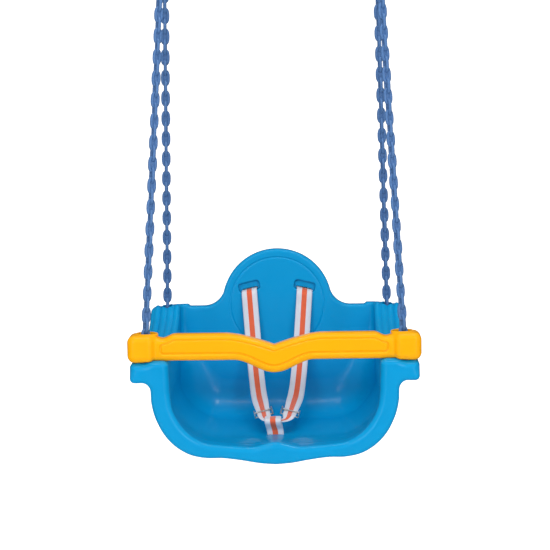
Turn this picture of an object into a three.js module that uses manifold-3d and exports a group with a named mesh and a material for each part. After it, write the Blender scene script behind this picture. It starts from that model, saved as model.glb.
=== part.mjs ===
// Toddler bucket swing: a blow-moulded bucket seat and a sliding lap bar, hung on four coated
// chains that gather in one ring on each side, with a harness and a snap hook above each ring.
// Millimetres. -Y is the open front of the seat and +Z is up. Pieces named left are at -X and pieces
// named right are at +X, as seen by someone facing the open front.
// The origin is at the middle of the swing, on the underside of the flat pad under the seat.

import * as THREE from 'three';
import { mergeVertices } from 'three/addons/utils/BufferGeometryUtils.js';
import Module from 'manifold-3d';

const wasm = await Module();
wasm.setup();

// ---------------------------------------------------------------- driving dimensions

const SIDES = { left: -1, right: 1 };
const HOLE_SEGMENTS = 16;
const GAP = 0.3; // clearance between pieces that touch on the real swing

const SEAT_FRONT_Y = -140;
const SEAT_BACK_Y = 140;
const BACKREST_FACE_Y = 118;
const WALL_HALF_WIDTH = 182;
const TUB_HALF_WIDTH = 155;
const REAR_RIM_Z = 201;
const RAIL_Z = 152; // top of the side rails at the front, where the lap bar rests
const RAIL_THICKNESS = 29;
const RAIL_HALF_WIDTH_FRONT = 212;
const RAIL_HALF_WIDTH_REAR = 202;
const RAIL_TAPER_START_Y = -60;
const RAIL_TAPER_END_Y = 40;
const RAIL_BACK_Y = SEAT_BACK_Y - 2;
const RAIL_INNER_OVERLAP = 8; // the rails start this far inside the tub's wall, which trims them
const SKIN = 3; // thickness of the blow-moulded plastic skin
const BLOW_HOLE_RADIUS = 4;
const BLOW_HOLE_Z = 62;

const RIB_COUNT = 4;
const RIB_SPACING = 10.4;
const RIB_WIDTH = 5.5;
const RIB_HEIGHT = 1.6;
const FIRST_RIB_X = 160;

const DISC_CENTRE_Z = 204;
const DISC_RADIUS = 88;
const DISC_FILLET = 34;
const DISC_GROOVE_RADIUS = 75;
const DISC_GROOVE_WIDTH = 2;
const DISC_GROOVE_DEPTH = 1.2;
const DISC_GROOVE_LOWEST_Z = 153;

const SLOT_X = 44.5;
const SLOT_Z = 232.3;
const SLOT_LENGTH = 35;
const SLOT_HEIGHT = 15;
const SLOT_TILT = THREE.MathUtils.degToRad(13);
const SLOT_RECESS = 8;
const SLIT_LENGTH = 30;
const SLIT_HEIGHT = 4.4;
const SLIT_DROP = 5.2; // how far the slit lies below the middle of its recess

const BAR_HALF_WIDTH = 215;
const BAR_TOP_Z = 193;
const BAR_BOTTOM_Z = RAIL_Z + GAP;
const BAR_BLOCK_WIDTH = 40;
const BAR_BLOCK_DEPTH = 44;
const BAR_BEAM_DEPTH = 30;
const BAR_Y = -117;
const BAR_HOLE_RADIUS = 13;
const BAR_SKIN = 3;
const BAR_BLOW_HOLE = { x: 100, z: 170, radius: 2.5 };
const BAR_HOLE_INSET = 2.8; // the chain stands this far outside the middle of its hole at rest

const WIRE_THICKNESS = 4.3; // square wire of the same section as the round one, 4.8 across
const LINK_INNER_WIDTH = 4.9;
const LINK_PITCH = 16; // the true pitch is the nearest that fits a whole number of links
const LINK_NEST = 0.25; // neighbouring links press into each other, so that a chain is one piece
const CHAIN_HOLE_RADIUS = 9;
const CHAIN_PIN_RADIUS = 1.6;
const CHAIN_PIN_LENGTH = 22;
const CHAIN_PIN_IN_LINK = 5.3; // from the last link's centre to its pin
const ANCHOR_POCKET_RADIUS = 12.5;
const ANCHOR_PLATE = 14; // thickness of plastic the chain pulls against
const ANCHOR_WINDOW_HEIGHT = 17;
const HOLE_OVERRUN = 10; // cutters run this far past the surfaces they open

const RING_CENTRE = { x: 158, z: 854 };
const RING_RADIUS = 32;
const RING_WIRE_RADIUS = 1.9;
const RING_IN_LINK = 5.5; // from the first link's centre to the ring's wire

const HOOK_WIRE_RADIUS = 3.5;
const HOOK_HALF_WIDTH = 11;
const HOOK_STRAIGHT = 22;
const HOOK_EYE_RADIUS = 12;
const HOOK_EYE_HOLE_RADIUS = 6;
const HOOK_EYE_THICKNESS = 6;
const HOOK_EYE_RISE = 9; // eye centre above the hook's top bend
const GATE_HALF_WIDTH = 2.9;
const GATE_HALF_THICKNESS = 4.1;
const GATE_SLOT_HALF_WIDTH = 2.9;
const GATE_NOSE_GAP = 0.5;
const GATE_PIN_RADIUS = 1.2;
const GATE_PIN_LENGTH = 9;
const GATE_FORK_DEPTH = 5.5; // the gate's top is slotted down to this far below its pivot
const LUG_HALF_WIDTH = 2.6;
const LUG_RISE = 5; // the lug reaches this far above the pivot, into the hook's top bend
const LUG_THICKNESS = 1.8;
const LUG_Y = -1.7;

const WEB_WIDTH = 25;
const WEB_THICKNESS = 1.6;
const KEEPER_RADIUS = 3;
const KEEPER_LENGTH = 42;
const KEEPER_Y = SEAT_BACK_Y + 7;
const CROTCH_Y = -49;
const CROTCH_TOP_Z = 52;
const CROTCH_KEEPER_Z = 5.4;
const CROTCH_SLOT = { halfLength: 15, halfWidth: 2.8 };
const CROTCH_POCKET = { halfLength: 23, halfWidth: 7, height: 10.8 };

const PAD_HALF_WIDTH = 55;
const PAD_FRONT_Y = -100;
const PAD_BACK_Y = 85;
const PAD_HEIGHT = 12;

const material = (color, roughness, metalness) =>
  new THREE.MeshStandardMaterial({ color, roughness, metalness });

const MATERIALS = {
  seat: material(0x0598e0, 0.35, 0),
  bar: material(0xffb800, 0.35, 0),
  chain: material(0x4a74b8, 0.5, 0.1),
  steel: material(0xc8ccd2, 0.3, 1),
  webbing: material(0xe6e8ee, 0.9, 0),
};

// ---------------------------------------------------------------- solids and outlines

function toSolid(geometry) {
  const bare = geometry.index ? geometry.toNonIndexed() : geometry.clone();
  bare.deleteAttribute('normal');
  bare.deleteAttribute('uv');
  const merged = mergeVertices(bare, 1e-4);
  return new wasm.Manifold(new wasm.Mesh({
    numProp: 3,
    vertProperties: new Float32Array(merged.attributes.position.array),
    triVerts: new Uint32Array(merged.index.array),
  }));
}

function toGeometry(solid) {
  const mesh = solid.getMesh();
  const geometry = new THREE.BufferGeometry();
  geometry.setAttribute('position', new THREE.BufferAttribute(mesh.vertProperties, 3));
  geometry.setIndex(new THREE.BufferAttribute(mesh.triVerts, 1));
  geometry.computeVertexNormals();
  return geometry;
}

const join = (solids) => solids.reduce((sum, solid) => sum.add(solid));
const overlap = (solids) => solids.reduce((common, solid) => common.intersect(solid));
const cut = (solid, cutters) => cutters.reduce((rest, cutter) => rest.subtract(cutter), solid);

const vectors = (points) => points.map(([u, v]) => new THREE.Vector2(u, v));

function shapeOf(points, holes = []) {
  const shape = new THREE.Shape(vectors(points));
  shape.holes = holes.map((hole) => new THREE.Path(vectors(hole)));
  return shape;
}

const extrude = (shape, depth, bevel = 0) => new THREE.ExtrudeGeometry(shape, {
  depth: depth - 2 * bevel,
  bevelEnabled: bevel > 0,
  bevelThickness: bevel,
  bevelSize: bevel,
  bevelOffset: -bevel,
  bevelSegments: 2,
  curveSegments: 8,
}).translate(0, 0, bevel);

// An (x, z) outline extruded from y0 to y1.
const prismXZ = (points, y0, y1, { holes = [], bevel = 0 } = {}) =>
  toSolid(extrude(shapeOf(points, holes), y1 - y0, bevel).rotateX(Math.PI / 2).translate(0, y1, 0));

// A (y, z) outline extruded from x0 to x1.
const YZ_TO_WORLD = new THREE.Matrix4().makeBasis(
  new THREE.Vector3(0, 1, 0), new THREE.Vector3(0, 0, 1), new THREE.Vector3(1, 0, 0));
const prismYZ = (points, x0, x1, { holes = [] } = {}) =>
  toSolid(extrude(shapeOf(points, holes), x1 - x0).applyMatrix4(YZ_TO_WORLD).translate(x0, 0, 0));

// An (x, y) outline extruded from z0 to z1.
const prismXY = (points, z0, z1) => toSolid(extrude(shapeOf(points), z1 - z0).translate(0, 0, z0));

const box = (x0, x1, y0, y1, z0, z1) =>
  toSolid(new THREE.BoxGeometry(x1 - x0, y1 - y0, z1 - z0)
    .translate((x0 + x1) / 2, (y0 + y1) / 2, (z0 + z1) / 2));

// A round bar between two points.
function rod(from, to, radius, segments = 16) {
  const along = new THREE.Vector3().subVectors(to, from);
  const turn = new THREE.Quaternion().setFromUnitVectors(
    new THREE.Vector3(0, 1, 0), along.clone().normalize());
  return new THREE.CylinderGeometry(radius, radius, along.length(), segments)
    .applyQuaternion(turn)
    .translate((from.x + to.x) / 2, (from.y + to.y) / 2, (from.z + to.z) / 2);
}

// A closed outline whose corners [u, v, radius] are rounded.
function rounded(corners) {
  const shape = new THREE.Shape();
  corners.forEach(([u, v, radius], i) => {
    const corner = new THREE.Vector2(u, v);
    const before = new THREE.Vector2(...corners.at(i - 1));
    const after = new THREE.Vector2(...corners[(i + 1) % corners.length]);
    const enter = corner.clone().add(before.sub(corner).setLength(radius));
    const leave = corner.clone().add(after.sub(corner).setLength(radius));
    if (i === 0) shape.moveTo(enter.x, enter.y);
    else shape.lineTo(enter.x, enter.y);
    if (radius > 0) shape.quadraticCurveTo(u, v, leave.x, leave.y);
  });
  return tidy(shape.getPoints(4));
}

// Drops repeated points and points on a straight line, and gives a counter-clockwise list of [u, v].
function tidy(points) {
  const distinct = points.filter((p, i) => p.distanceTo(points.at(i - 1)) > 0.01);
  const kept = distinct.filter((p, i) => {
    const before = p.clone().sub(distinct.at(i - 1)).normalize();
    const after = distinct[(i + 1) % distinct.length].clone().sub(p).normalize();
    return Math.abs(before.cross(after)) > 1e-4;
  });
  if (THREE.ShapeUtils.isClockWise(kept)) kept.reverse();
  return kept.map((p) => [p.x, p.y]);
}

// Moves a counter-clockwise outline inwards by a distance (outwards when it is negative).
function inset(points, distance) {
  return points.map(([u, v], i) => {
    const [u0, v0] = points.at(i - 1);
    const [u1, v1] = points[(i + 1) % points.length];
    const before = new THREE.Vector2(v0 - v, u - u0).normalize();
    const after = new THREE.Vector2(v - v1, u1 - u).normalize();
    const inward = before.clone().add(after).normalize();
    const reach = distance / Math.max(0.5, inward.dot(after));
    return [u + inward.x * reach, v + inward.y * reach];
  });
}

const mirrored = (half) => {
  const left = half.filter(([u]) => u > 0.01).map(([u, ...rest]) => [-u, ...rest]).reverse();
  return tidy(vectors([...left, ...half]));
};

const spline = (points, count) =>
  new THREE.SplineCurve(points.map(([u, v]) => new THREE.Vector2(u, v)))
    .getPoints(count).map((p) => [p.x, p.y]);

const circle = (u, v, radius, count = 16) => Array.from({ length: count }, (_, i) => {
  const turn = (i / count) * 2 * Math.PI;
  return [u + radius * Math.cos(turn), v + radius * Math.sin(turn)];
});

// ---------------------------------------------------------------- seat shell

// Right half of the seat's outside, seen from the front: bulged lip, round bilge, upright wall.
const WALL_HALF_OUTLINE = [
  ...spline([[0, 0], [24, 2], [50, 6.5], [77, 10], [103, 10.5], [127, 16], [148, 29], [164, 47],
    [175.5, 70], [181, 92], [WALL_HALF_WIDTH, 112]], 14),
  [WALL_HALF_WIDTH, 240],
];

// Right half of the tub's inside: centre bump, leg hollow, round bilge, upright wall.
const TUB_HALF_OUTLINE = [
  ...spline([[0, 34], [18, 31], [37, 27], [58, 28.5], [78, 30.2], [98, 32.5], [111, 37],
    [126, 47], [139, 62], [149.5, 83], [154, 108]], 14),
  [TUB_HALF_WIDTH, 141],
  [TUB_HALF_WIDTH, 400],
];

// Top line of the side rails, from the front ear up to the rear corner.
const RAIL_TOP = [
  [SEAT_FRONT_Y, RAIL_Z],
  ...spline([[-88, RAIL_Z], [-40, 156.5], [10, 164], [50, 173], [80, 183.5], [97, 194],
    [110, REAR_RIM_Z]], 9),
  [RAIL_BACK_Y, REAR_RIM_Z],
];

const lowered = (line, drop) => line.map(([y, z]) => [y, z - drop]).reverse();

const RAIL_SIDE = tidy(vectors([...lowered(RAIL_TOP, RAIL_THICKNESS), ...RAIL_TOP]));

const WALL_SIDE = tidy(vectors([
  ...rounded([[SEAT_FRONT_Y, -10, 0], [SEAT_BACK_Y, -10, 45], [SEAT_BACK_Y, REAR_RIM_Z, 0],
    [SEAT_FRONT_Y, REAR_RIM_Z, 0]]).slice(0, -1),
  ...[...RAIL_TOP].reverse().slice(1),
]));

const wallPlan = rounded([
  [-WALL_HALF_WIDTH, SEAT_FRONT_Y, 0], [WALL_HALF_WIDTH, SEAT_FRONT_Y, 0],
  [WALL_HALF_WIDTH, SEAT_BACK_Y, 40], [-WALL_HALF_WIDTH, SEAT_BACK_Y, 40]]);

const railPlan = (side) => {
  const inner = side * (TUB_HALF_WIDTH - RAIL_INNER_OVERLAP);
  const front = side * RAIL_HALF_WIDTH_FRONT;
  const rear = side * RAIL_HALF_WIDTH_REAR;
  return rounded([
    [inner, SEAT_FRONT_Y, 0], [front, SEAT_FRONT_Y, 10],
    [front, RAIL_TAPER_START_Y, 20], [rear, RAIL_TAPER_END_Y, 20],
    [rear, RAIL_BACK_Y, 20], [inner, RAIL_BACK_Y, 0]]);
};

const tubPlan = rounded([
  [-TUB_HALF_WIDTH, SEAT_FRONT_Y - 30, 0], [TUB_HALF_WIDTH, SEAT_FRONT_Y - 30, 0],
  [TUB_HALF_WIDTH, BACKREST_FACE_Y, 55], [-TUB_HALF_WIDTH, BACKREST_FACE_Y, 55]]);

const TUB_SIDE = rounded([
  [SEAT_FRONT_Y - 30, 10, 0], [BACKREST_FACE_Y, 10, 48], [BACKREST_FACE_Y, 400, 0],
  [SEAT_FRONT_Y - 30, 400, 0]]);

// Round backrest rising from the rear rim with a hollow fillet on each side.
function backrestOutline() {
  const filletZ = REAR_RIM_Z + DISC_FILLET;
  const reach = DISC_RADIUS + DISC_FILLET;
  const filletX = Math.sqrt(reach ** 2 - (filletZ - DISC_CENTRE_Z) ** 2);
  const turn = Math.atan2(filletZ - DISC_CENTRE_Z, filletX);
  const shape = new THREE.Shape();
  shape.moveTo(-filletX, REAR_RIM_Z - 40);
  shape.lineTo(filletX, REAR_RIM_Z - 40);
  shape.absarc(filletX, filletZ, DISC_FILLET, -Math.PI / 2, -Math.PI + turn, true);
  shape.absarc(0, DISC_CENTRE_Z, DISC_RADIUS, turn, Math.PI - turn, false);
  shape.absarc(-filletX, filletZ, DISC_FILLET, -turn, -Math.PI / 2, true);
  return tidy(shape.getPoints(7));
}

// The seat's outside drawn in by a distance, with its tub grown by the same distance.
function seatBlank(drawn) {
  const wall = overlap([
    prismXZ(inset(mirrored(WALL_HALF_OUTLINE), drawn), SEAT_FRONT_Y + drawn, SEAT_BACK_Y - drawn),
    prismYZ(inset(WALL_SIDE, drawn), -WALL_HALF_WIDTH - 10, WALL_HALF_WIDTH + 10),
    prismXY(inset(wallPlan, drawn), -20, 260),
  ]);
  const rails = Object.values(SIDES).map((side) => prismYZ(
    inset(RAIL_SIDE, drawn), -RAIL_HALF_WIDTH_FRONT - 10, RAIL_HALF_WIDTH_FRONT + 10,
  ).intersect(prismXY(inset(railPlan(side), drawn), 0, 260)));
  const backrest = prismXZ(inset(backrestOutline(), drawn),
    BACKREST_FACE_Y + drawn, SEAT_BACK_Y - drawn);
  const tub = overlap([
    prismXZ(inset(mirrored(TUB_HALF_OUTLINE), -drawn), SEAT_FRONT_Y - 20, BACKREST_FACE_Y + drawn),
    prismYZ(inset(TUB_SIDE, -drawn), -TUB_HALF_WIDTH - 10, TUB_HALF_WIDTH + 10),
    prismXY(inset(tubPlan, -drawn), 0, 500),
  ]);
  return join([wall, ...rails, backrest]).subtract(tub);
}

// Raised ribs along the top of one rail, from behind the lap bar to the rear corner.
const railRibs = (side) => Array.from({ length: RIB_COUNT }, (_, i) => {
  const x = side * (FIRST_RIB_X + i * RIB_SPACING);
  const ridge = RAIL_TOP.slice(2, -1).map(([y, z]) => [y, z + RIB_HEIGHT]);
  return prismYZ([...lowered(ridge, 0), ...lowered(ridge, 3).reverse()],
    x - RIB_WIDTH / 2, x + RIB_WIDTH / 2);
});

// A cutter for one strap slot: an obround recess with a slit at its foot through the backrest.
function slotCutters(side, grow = 0) {
  const obround = (length, height) => rounded([
    [-length / 2, -height / 2, height / 2], [length / 2, -height / 2, height / 2],
    [length / 2, height / 2, height / 2], [-length / 2, height / 2, height / 2]]);
  const place = (geometry, drop) => toSolid(geometry
    .rotateX(Math.PI / 2)
    .translate(0, 0, -drop)
    .rotateY(side * SLOT_TILT)
    .translate(side * SLOT_X, 0, SLOT_Z));
  const recess = extrude(shapeOf(obround(SLOT_LENGTH + 2 * grow, SLOT_HEIGHT + 2 * grow)),
    SLOT_RECESS + 10).translate(0, 0, -BACKREST_FACE_Y - SLOT_RECESS - grow);
  const slit = extrude(shapeOf(obround(SLIT_LENGTH + 2 * grow, SLIT_HEIGHT + 2 * grow)),
    60).translate(0, 0, -SEAT_BACK_Y - 10);
  return [place(recess, 0), place(slit, SLIT_DROP)];
}

// Cutters for the crotch strap's slot through the floor and the pocket for its keeper rod.
function crotchCutters(grow = 0) {
  const place = ({ halfLength, halfWidth }, top) => box(
    -halfLength - grow, halfLength + grow,
    CROTCH_Y - halfWidth - grow, CROTCH_Y + halfWidth + grow, -1, top);
  return [place(CROTCH_SLOT, 60), place(CROTCH_POCKET, CROTCH_POCKET.height + grow)];
}

// ---------------------------------------------------------------- chain lines

// Where the pin that ends each chain lies, under the plastic that it pulls against.
const FRONT_PIN = { x: 192, y: -123, z: RAIL_Z - ANCHOR_PLATE - GAP - CHAIN_PIN_RADIUS };
const REAR_PIN = { x: 176, y: 114, z: REAR_RIM_Z - ANCHOR_PLATE - GAP - CHAIN_PIN_RADIUS };

// A chain's centre line: from level with the ring's centre, through the ring's wire, to its pin.
function chainLine(side, pin) {
  const leanOut = (pin.x - RING_CENTRE.x) / (RING_CENTRE.z - RING_RADIUS - pin.z);
  const top = new THREE.Vector3(side * (RING_CENTRE.x - leanOut * RING_RADIUS), 0, RING_CENTRE.z);
  const bottom = new THREE.Vector3(side * pin.x, pin.y, pin.z);
  const along = new THREE.Vector3().subVectors(bottom, top).normalize();
  const run = top.distanceTo(bottom) - RING_RADIUS - RING_IN_LINK - CHAIN_PIN_IN_LINK;
  const links = Math.round(run / LINK_PITCH) + 1;
  return { top, bottom, along, links, pitch: run / (links - 1) };
}

// The point of a chain's centre line at a given height.
const pointOn = (line, z) => line.bottom.clone()
  .addScaledVector(line.along, (z - line.bottom.z) / line.along.z);

const chainHole = (side, pin, z0, z1, radius) => {
  const line = chainLine(side, pin);
  return toSolid(rod(pointOn(line, z0), pointOn(line, z1), radius, HOLE_SEGMENTS));
};

// Cutters for one side's two chains: the holes they drop through, a round pocket under the front
// ear and a window under the rear corner, where their pins are.
function anchorCutters(side, grow = 0) {
  const pocket = ANCHOR_POCKET_RADIUS + grow;
  const frontCeiling = RAIL_Z - ANCHOR_PLATE;
  const rearCeiling = REAR_RIM_Z - ANCHOR_PLATE;
  const underPin = (z) => new THREE.Vector3(side * FRONT_PIN.x, FRONT_PIN.y, z);
  const frontPocket = rod(underPin(RAIL_Z - RAIL_THICKNESS - HOLE_OVERRUN),
    underPin(frontCeiling + grow), pocket, HOLE_SEGMENTS);
  const windowX = [side * (REAR_PIN.x - pocket), side * (RAIL_HALF_WIDTH_REAR + HOLE_OVERRUN)]
    .sort((a, b) => a - b);
  const hole = (pin, ceiling, top) => chainHole(side, pin, ceiling - HOLE_OVERRUN / 2,
    top + HOLE_OVERRUN, CHAIN_HOLE_RADIUS + grow);
  return [
    hole(FRONT_PIN, frontCeiling, RAIL_Z),
    hole(REAR_PIN, rearCeiling, REAR_RIM_Z),
    toSolid(frontPocket),
    box(...windowX, REAR_PIN.y - pocket, REAR_PIN.y + pocket,
      rearCeiling - ANCHOR_WINDOW_HEIGHT - grow, rearCeiling + grow),
  ];
}

// ---------------------------------------------------------------- seat assembly

// A cutter for the round groove on the backrest, which stops above the curve into the tub.
function discGroove() {
  const edge = (offset) => circle(0, DISC_CENTRE_Z, DISC_GROOVE_RADIUS + offset, 36);
  const ring = prismXZ(edge(DISC_GROOVE_WIDTH / 2),
    BACKREST_FACE_Y - 5, BACKREST_FACE_Y + DISC_GROOVE_DEPTH,
    { holes: [edge(-DISC_GROOVE_WIDTH / 2)] });
  return ring.intersect(box(-DISC_RADIUS, DISC_RADIUS, BACKREST_FACE_Y - 5, SEAT_BACK_Y,
    DISC_GROOVE_LOWEST_Z, DISC_CENTRE_Z + DISC_RADIUS));
}

function seatShell() {
  const sides = Object.values(SIDES);
  const pad = box(-PAD_HALF_WIDTH, PAD_HALF_WIDTH, PAD_FRONT_Y, PAD_BACK_Y, 0, PAD_HEIGHT);
  const keepSolid = [
    ...sides.flatMap((side) => [...anchorCutters(side, SKIN), ...slotCutters(side, SKIN)]),
    ...crotchCutters(SKIN),
  ];
  const cavity = cut(seatBlank(SKIN), keepSolid);
  const blowHole = toSolid(rod(
    new THREE.Vector3(0, SEAT_BACK_Y - 2 * SKIN, BLOW_HOLE_Z),
    new THREE.Vector3(0, SEAT_BACK_Y + HOLE_OVERRUN, BLOW_HOLE_Z), BLOW_HOLE_RADIUS));
  const body = join([seatBlank(0), pad, ...sides.flatMap(railRibs)]);
  return cut(body, [
    cavity, blowHole, discGroove(),
    ...sides.flatMap((side) => [...anchorCutters(side), ...slotCutters(side)]),
    ...crotchCutters(),
  ]);
}

// ---------------------------------------------------------------- lap bar

const END_DIP_X = 164;
const END_DIP_HALF_WIDTH = 18;
const END_DIP_DEPTH = 6;
const NOTCH_HALF_WIDTH = 70;
const NOTCH_DEPTH = 17.5;
const BULGE_HALF_WIDTH = 60;
const BULGE_DEPTH = 19;
const BEAM_STATIONS = 26;
const BEAM_LIFT = 1.8; // the beam's underside is higher than the end blocks by this

// Upper edge of the beam: a dip beside each end block and a V notch in the middle.
function beamTop(x) {
  const fromDip = Math.abs(Math.abs(x) - END_DIP_X) / END_DIP_HALF_WIDTH;
  const dip = fromDip < 1 ? END_DIP_DEPTH * (1 + Math.cos(Math.PI * fromDip)) / 2 : 0;
  const toNotch = Math.max(0, 1 - Math.abs(x) / NOTCH_HALF_WIDTH);
  return BAR_TOP_Z - dip - NOTCH_DEPTH * toNotch ** 1.5;
}

// Lower edge of the beam: straight, with a round bulge under the notch.
function beamBottom(x) {
  const fromMiddle = Math.min(1, Math.abs(x) / BULGE_HALF_WIDTH);
  return BAR_BOTTOM_Z + BEAM_LIFT - BULGE_DEPTH * (1 + Math.cos(Math.PI * fromMiddle)) / 2;
}

function beamOutline(halfLength, drawn) {
  const across = Array.from({ length: BEAM_STATIONS + 1 },
    (_, i) => (2 * i / BEAM_STATIONS - 1) * halfLength);
  const lower = across.map((x) => [x, beamBottom(x) + drawn]);
  const upper = across.map((x) => [x, beamTop(x) - drawn]).reverse();
  return [...lower, ...upper];
}

// The hole in one end block: it follows its chain's slope front to back, and is upright across.
function barHole(side, radius) {
  const line = chainLine(side, FRONT_PIN);
  const middle = pointOn(line, (BAR_BOTTOM_Z + BAR_TOP_Z) / 2);
  const ends = [BAR_BOTTOM_Z - HOLE_OVERRUN, BAR_TOP_Z + HOLE_OVERRUN]
    .map((z) => pointOn(line, z).setX(middle.x - side * BAR_HOLE_INSET));
  return toSolid(rod(...ends, radius, HOLE_SEGMENTS));
}

function lapBar() {
  const beam = prismXZ(beamOutline(BAR_HALF_WIDTH - BAR_BLOCK_WIDTH / 2, 0),
    BAR_Y - BAR_BEAM_DEPTH / 2, BAR_Y + BAR_BEAM_DEPTH / 2);
  const blocks = Object.values(SIDES).map((side) => {
    const outer = side * BAR_HALF_WIDTH;
    const inner = side * (BAR_HALF_WIDTH - BAR_BLOCK_WIDTH);
    return prismXZ(rounded([[inner, BAR_BOTTOM_Z, 6], [outer, BAR_BOTTOM_Z, 10],
      [outer, BAR_TOP_Z, 10], [inner, BAR_TOP_Z, 6]]),
    BAR_Y - BAR_BLOCK_DEPTH / 2, BAR_Y + BAR_BLOCK_DEPTH / 2, { bevel: 4 });
  });
  const hollow = prismXZ(beamOutline(BAR_HALF_WIDTH - BAR_BLOCK_WIDTH - BAR_SKIN, BAR_SKIN),
    BAR_Y - BAR_BEAM_DEPTH / 2 + BAR_SKIN, BAR_Y + BAR_BEAM_DEPTH / 2 - BAR_SKIN);
  const blowHole = toSolid(rod(
    new THREE.Vector3(BAR_BLOW_HOLE.x, BAR_Y, BAR_BLOW_HOLE.z),
    new THREE.Vector3(BAR_BLOW_HOLE.x, BAR_Y + BAR_BEAM_DEPTH, BAR_BLOW_HOLE.z),
    BAR_BLOW_HOLE.radius));
  const holes = Object.values(SIDES).map((side) => barHole(side, BAR_HOLE_RADIUS));
  return cut(join([beam, ...blocks]), [hollow, blowHole, ...holes]);
}

// ---------------------------------------------------------------- chains, pins and rings

// One link, long axis along Y and lying in the XY plane: a flat frame of square wire.
function linkGeometry(pitch) {
  const opening = [LINK_INNER_WIDTH / 2, (pitch - LINK_NEST) / 2];
  const frame = opening.map((half) => half + WIRE_THICKNESS);
  const corners = ([u, v]) => [[u, v], [-u, v], [-u, -v], [u, -v]];
  return extrude(shapeOf(corners(frame), [corners(opening)]), WIRE_THICKNESS)
    .translate(0, 0, -WIRE_THICKNESS / 2);
}

function chain(side, pin) {
  const line = chainLine(side, pin);
  const across = new THREE.Vector3(0, -line.along.z, line.along.y).normalize();
  const sideways = new THREE.Vector3().crossVectors(line.along, across);
  const flat = new THREE.Matrix4().makeBasis(sideways, line.along, across);
  const onEdge = new THREE.Matrix4().makeBasis(across, line.along, sideways.clone().negate());
  const links = Array.from({ length: line.links }, (_, i) => {
    const distance = RING_RADIUS + RING_IN_LINK + i * line.pitch;
    const centre = line.top.clone().addScaledVector(line.along, distance);
    const turned = linkGeometry(line.pitch).applyMatrix4(i % 2 ? onEdge : flat);
    return toSolid(turned.translate(...centre));
  });
  return join(links);
}

// The pin lies level, square to the last link of its chain.
function chainPin(side, pin) {
  const line = chainLine(side, pin);
  const half = CHAIN_PIN_LENGTH / 2;
  const reach = line.links % 2 ? new THREE.Vector3(0, half, 0) : new THREE.Vector3(half, 0, 0);
  return rod(line.bottom.clone().sub(reach), line.bottom.clone().add(reach), CHAIN_PIN_RADIUS, 12);
}

const chainRing = (side) => new THREE.TorusGeometry(RING_RADIUS, RING_WIRE_RADIUS, 6, 20)
  .rotateY(Math.PI / 2)
  .translate(side * RING_CENTRE.x, 0, RING_CENTRE.z);

// ---------------------------------------------------------------- snap hooks

// The hook's own frame: x to the gate side, z up from the centre of the wire at the bottom bend.
const HOOK_BASE_Z = RING_CENTRE.z + RING_RADIUS - RING_WIRE_RADIUS - HOOK_WIRE_RADIUS - GAP;
const HOOK_TOP_BEND_Z = HOOK_HALF_WIDTH + HOOK_STRAIGHT;
const GATE_PIVOT_Z = HOOK_TOP_BEND_Z;
const GATE_NOSE_Z = HOOK_HALF_WIDTH + 1;
const GATE_EDGE = GATE_HALF_WIDTH + 0.1;
const HOOK_EYE_Z = HOOK_TOP_BEND_Z + HOOK_HALF_WIDTH + HOOK_EYE_RISE;

const inHookFrame = (solid, side) => (side > 0 ? solid : solid.mirror([1, 0, 0]))
  .translate([side * RING_CENTRE.x, 0, HOOK_BASE_Z]);

function tube(points, radius, steps, sides = 8) {
  const path = new THREE.CatmullRomCurve3(points.map((p) => new THREE.Vector3(...p)));
  return toSolid(new THREE.ExtrudeGeometry(shapeOf(circle(0, 0, radius, sides)), {
    steps, bevelEnabled: false, extrudePath: path,
  }));
}

function snapHook(side) {
  const bend = (centreZ, from, to) => Array.from({ length: 7 }, (_, i) => {
    const turn = from + (to - from) * (i / 6);
    return [HOOK_HALF_WIDTH * Math.cos(turn), 0, centreZ + HOOK_HALF_WIDTH * Math.sin(turn)];
  });
  const body = tube([
    [HOOK_HALF_WIDTH, 0, GATE_NOSE_Z],
    ...bend(HOOK_HALF_WIDTH, 0, -Math.PI),
    [-HOOK_HALF_WIDTH, 0, HOOK_TOP_BEND_Z / 2 + HOOK_HALF_WIDTH / 2],
    ...bend(HOOK_TOP_BEND_Z + GATE_EDGE, Math.PI, 0),
  ], HOOK_WIRE_RADIUS, 20);
  const eye = prismXZ(circle(0, HOOK_EYE_Z, HOOK_EYE_RADIUS, 24),
    -HOOK_EYE_THICKNESS / 2, HOOK_EYE_THICKNESS / 2);
  const eyeHole = prismXZ(circle(0, HOOK_EYE_Z, HOOK_EYE_HOLE_RADIUS, 24),
    -HOLE_OVERRUN, HOLE_OVERRUN);
  const lugX = [HOOK_HALF_WIDTH - LUG_HALF_WIDTH, HOOK_HALF_WIDTH + LUG_HALF_WIDTH];
  const lugZ = [GATE_PIVOT_Z - LUG_HALF_WIDTH, GATE_PIVOT_Z + LUG_RISE];
  const lug = prismXZ(rounded([
    [lugX[0], lugZ[0], 2.4], [lugX[1], lugZ[0], 2.4], [lugX[1], lugZ[1], 0], [lugX[0], lugZ[1], 0]]),
  LUG_Y - LUG_THICKNESS / 2, LUG_Y + LUG_THICKNESS / 2);
  return inHookFrame(cut(join([body, eye, lug]), [eyeHole, gatePinHole()]), side);
}

const gatePinHole = () => prismXZ(
  circle(HOOK_HALF_WIDTH, GATE_PIVOT_Z, GATE_PIN_RADIUS + GAP), -HOLE_OVERRUN, HOLE_OVERRUN);

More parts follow.
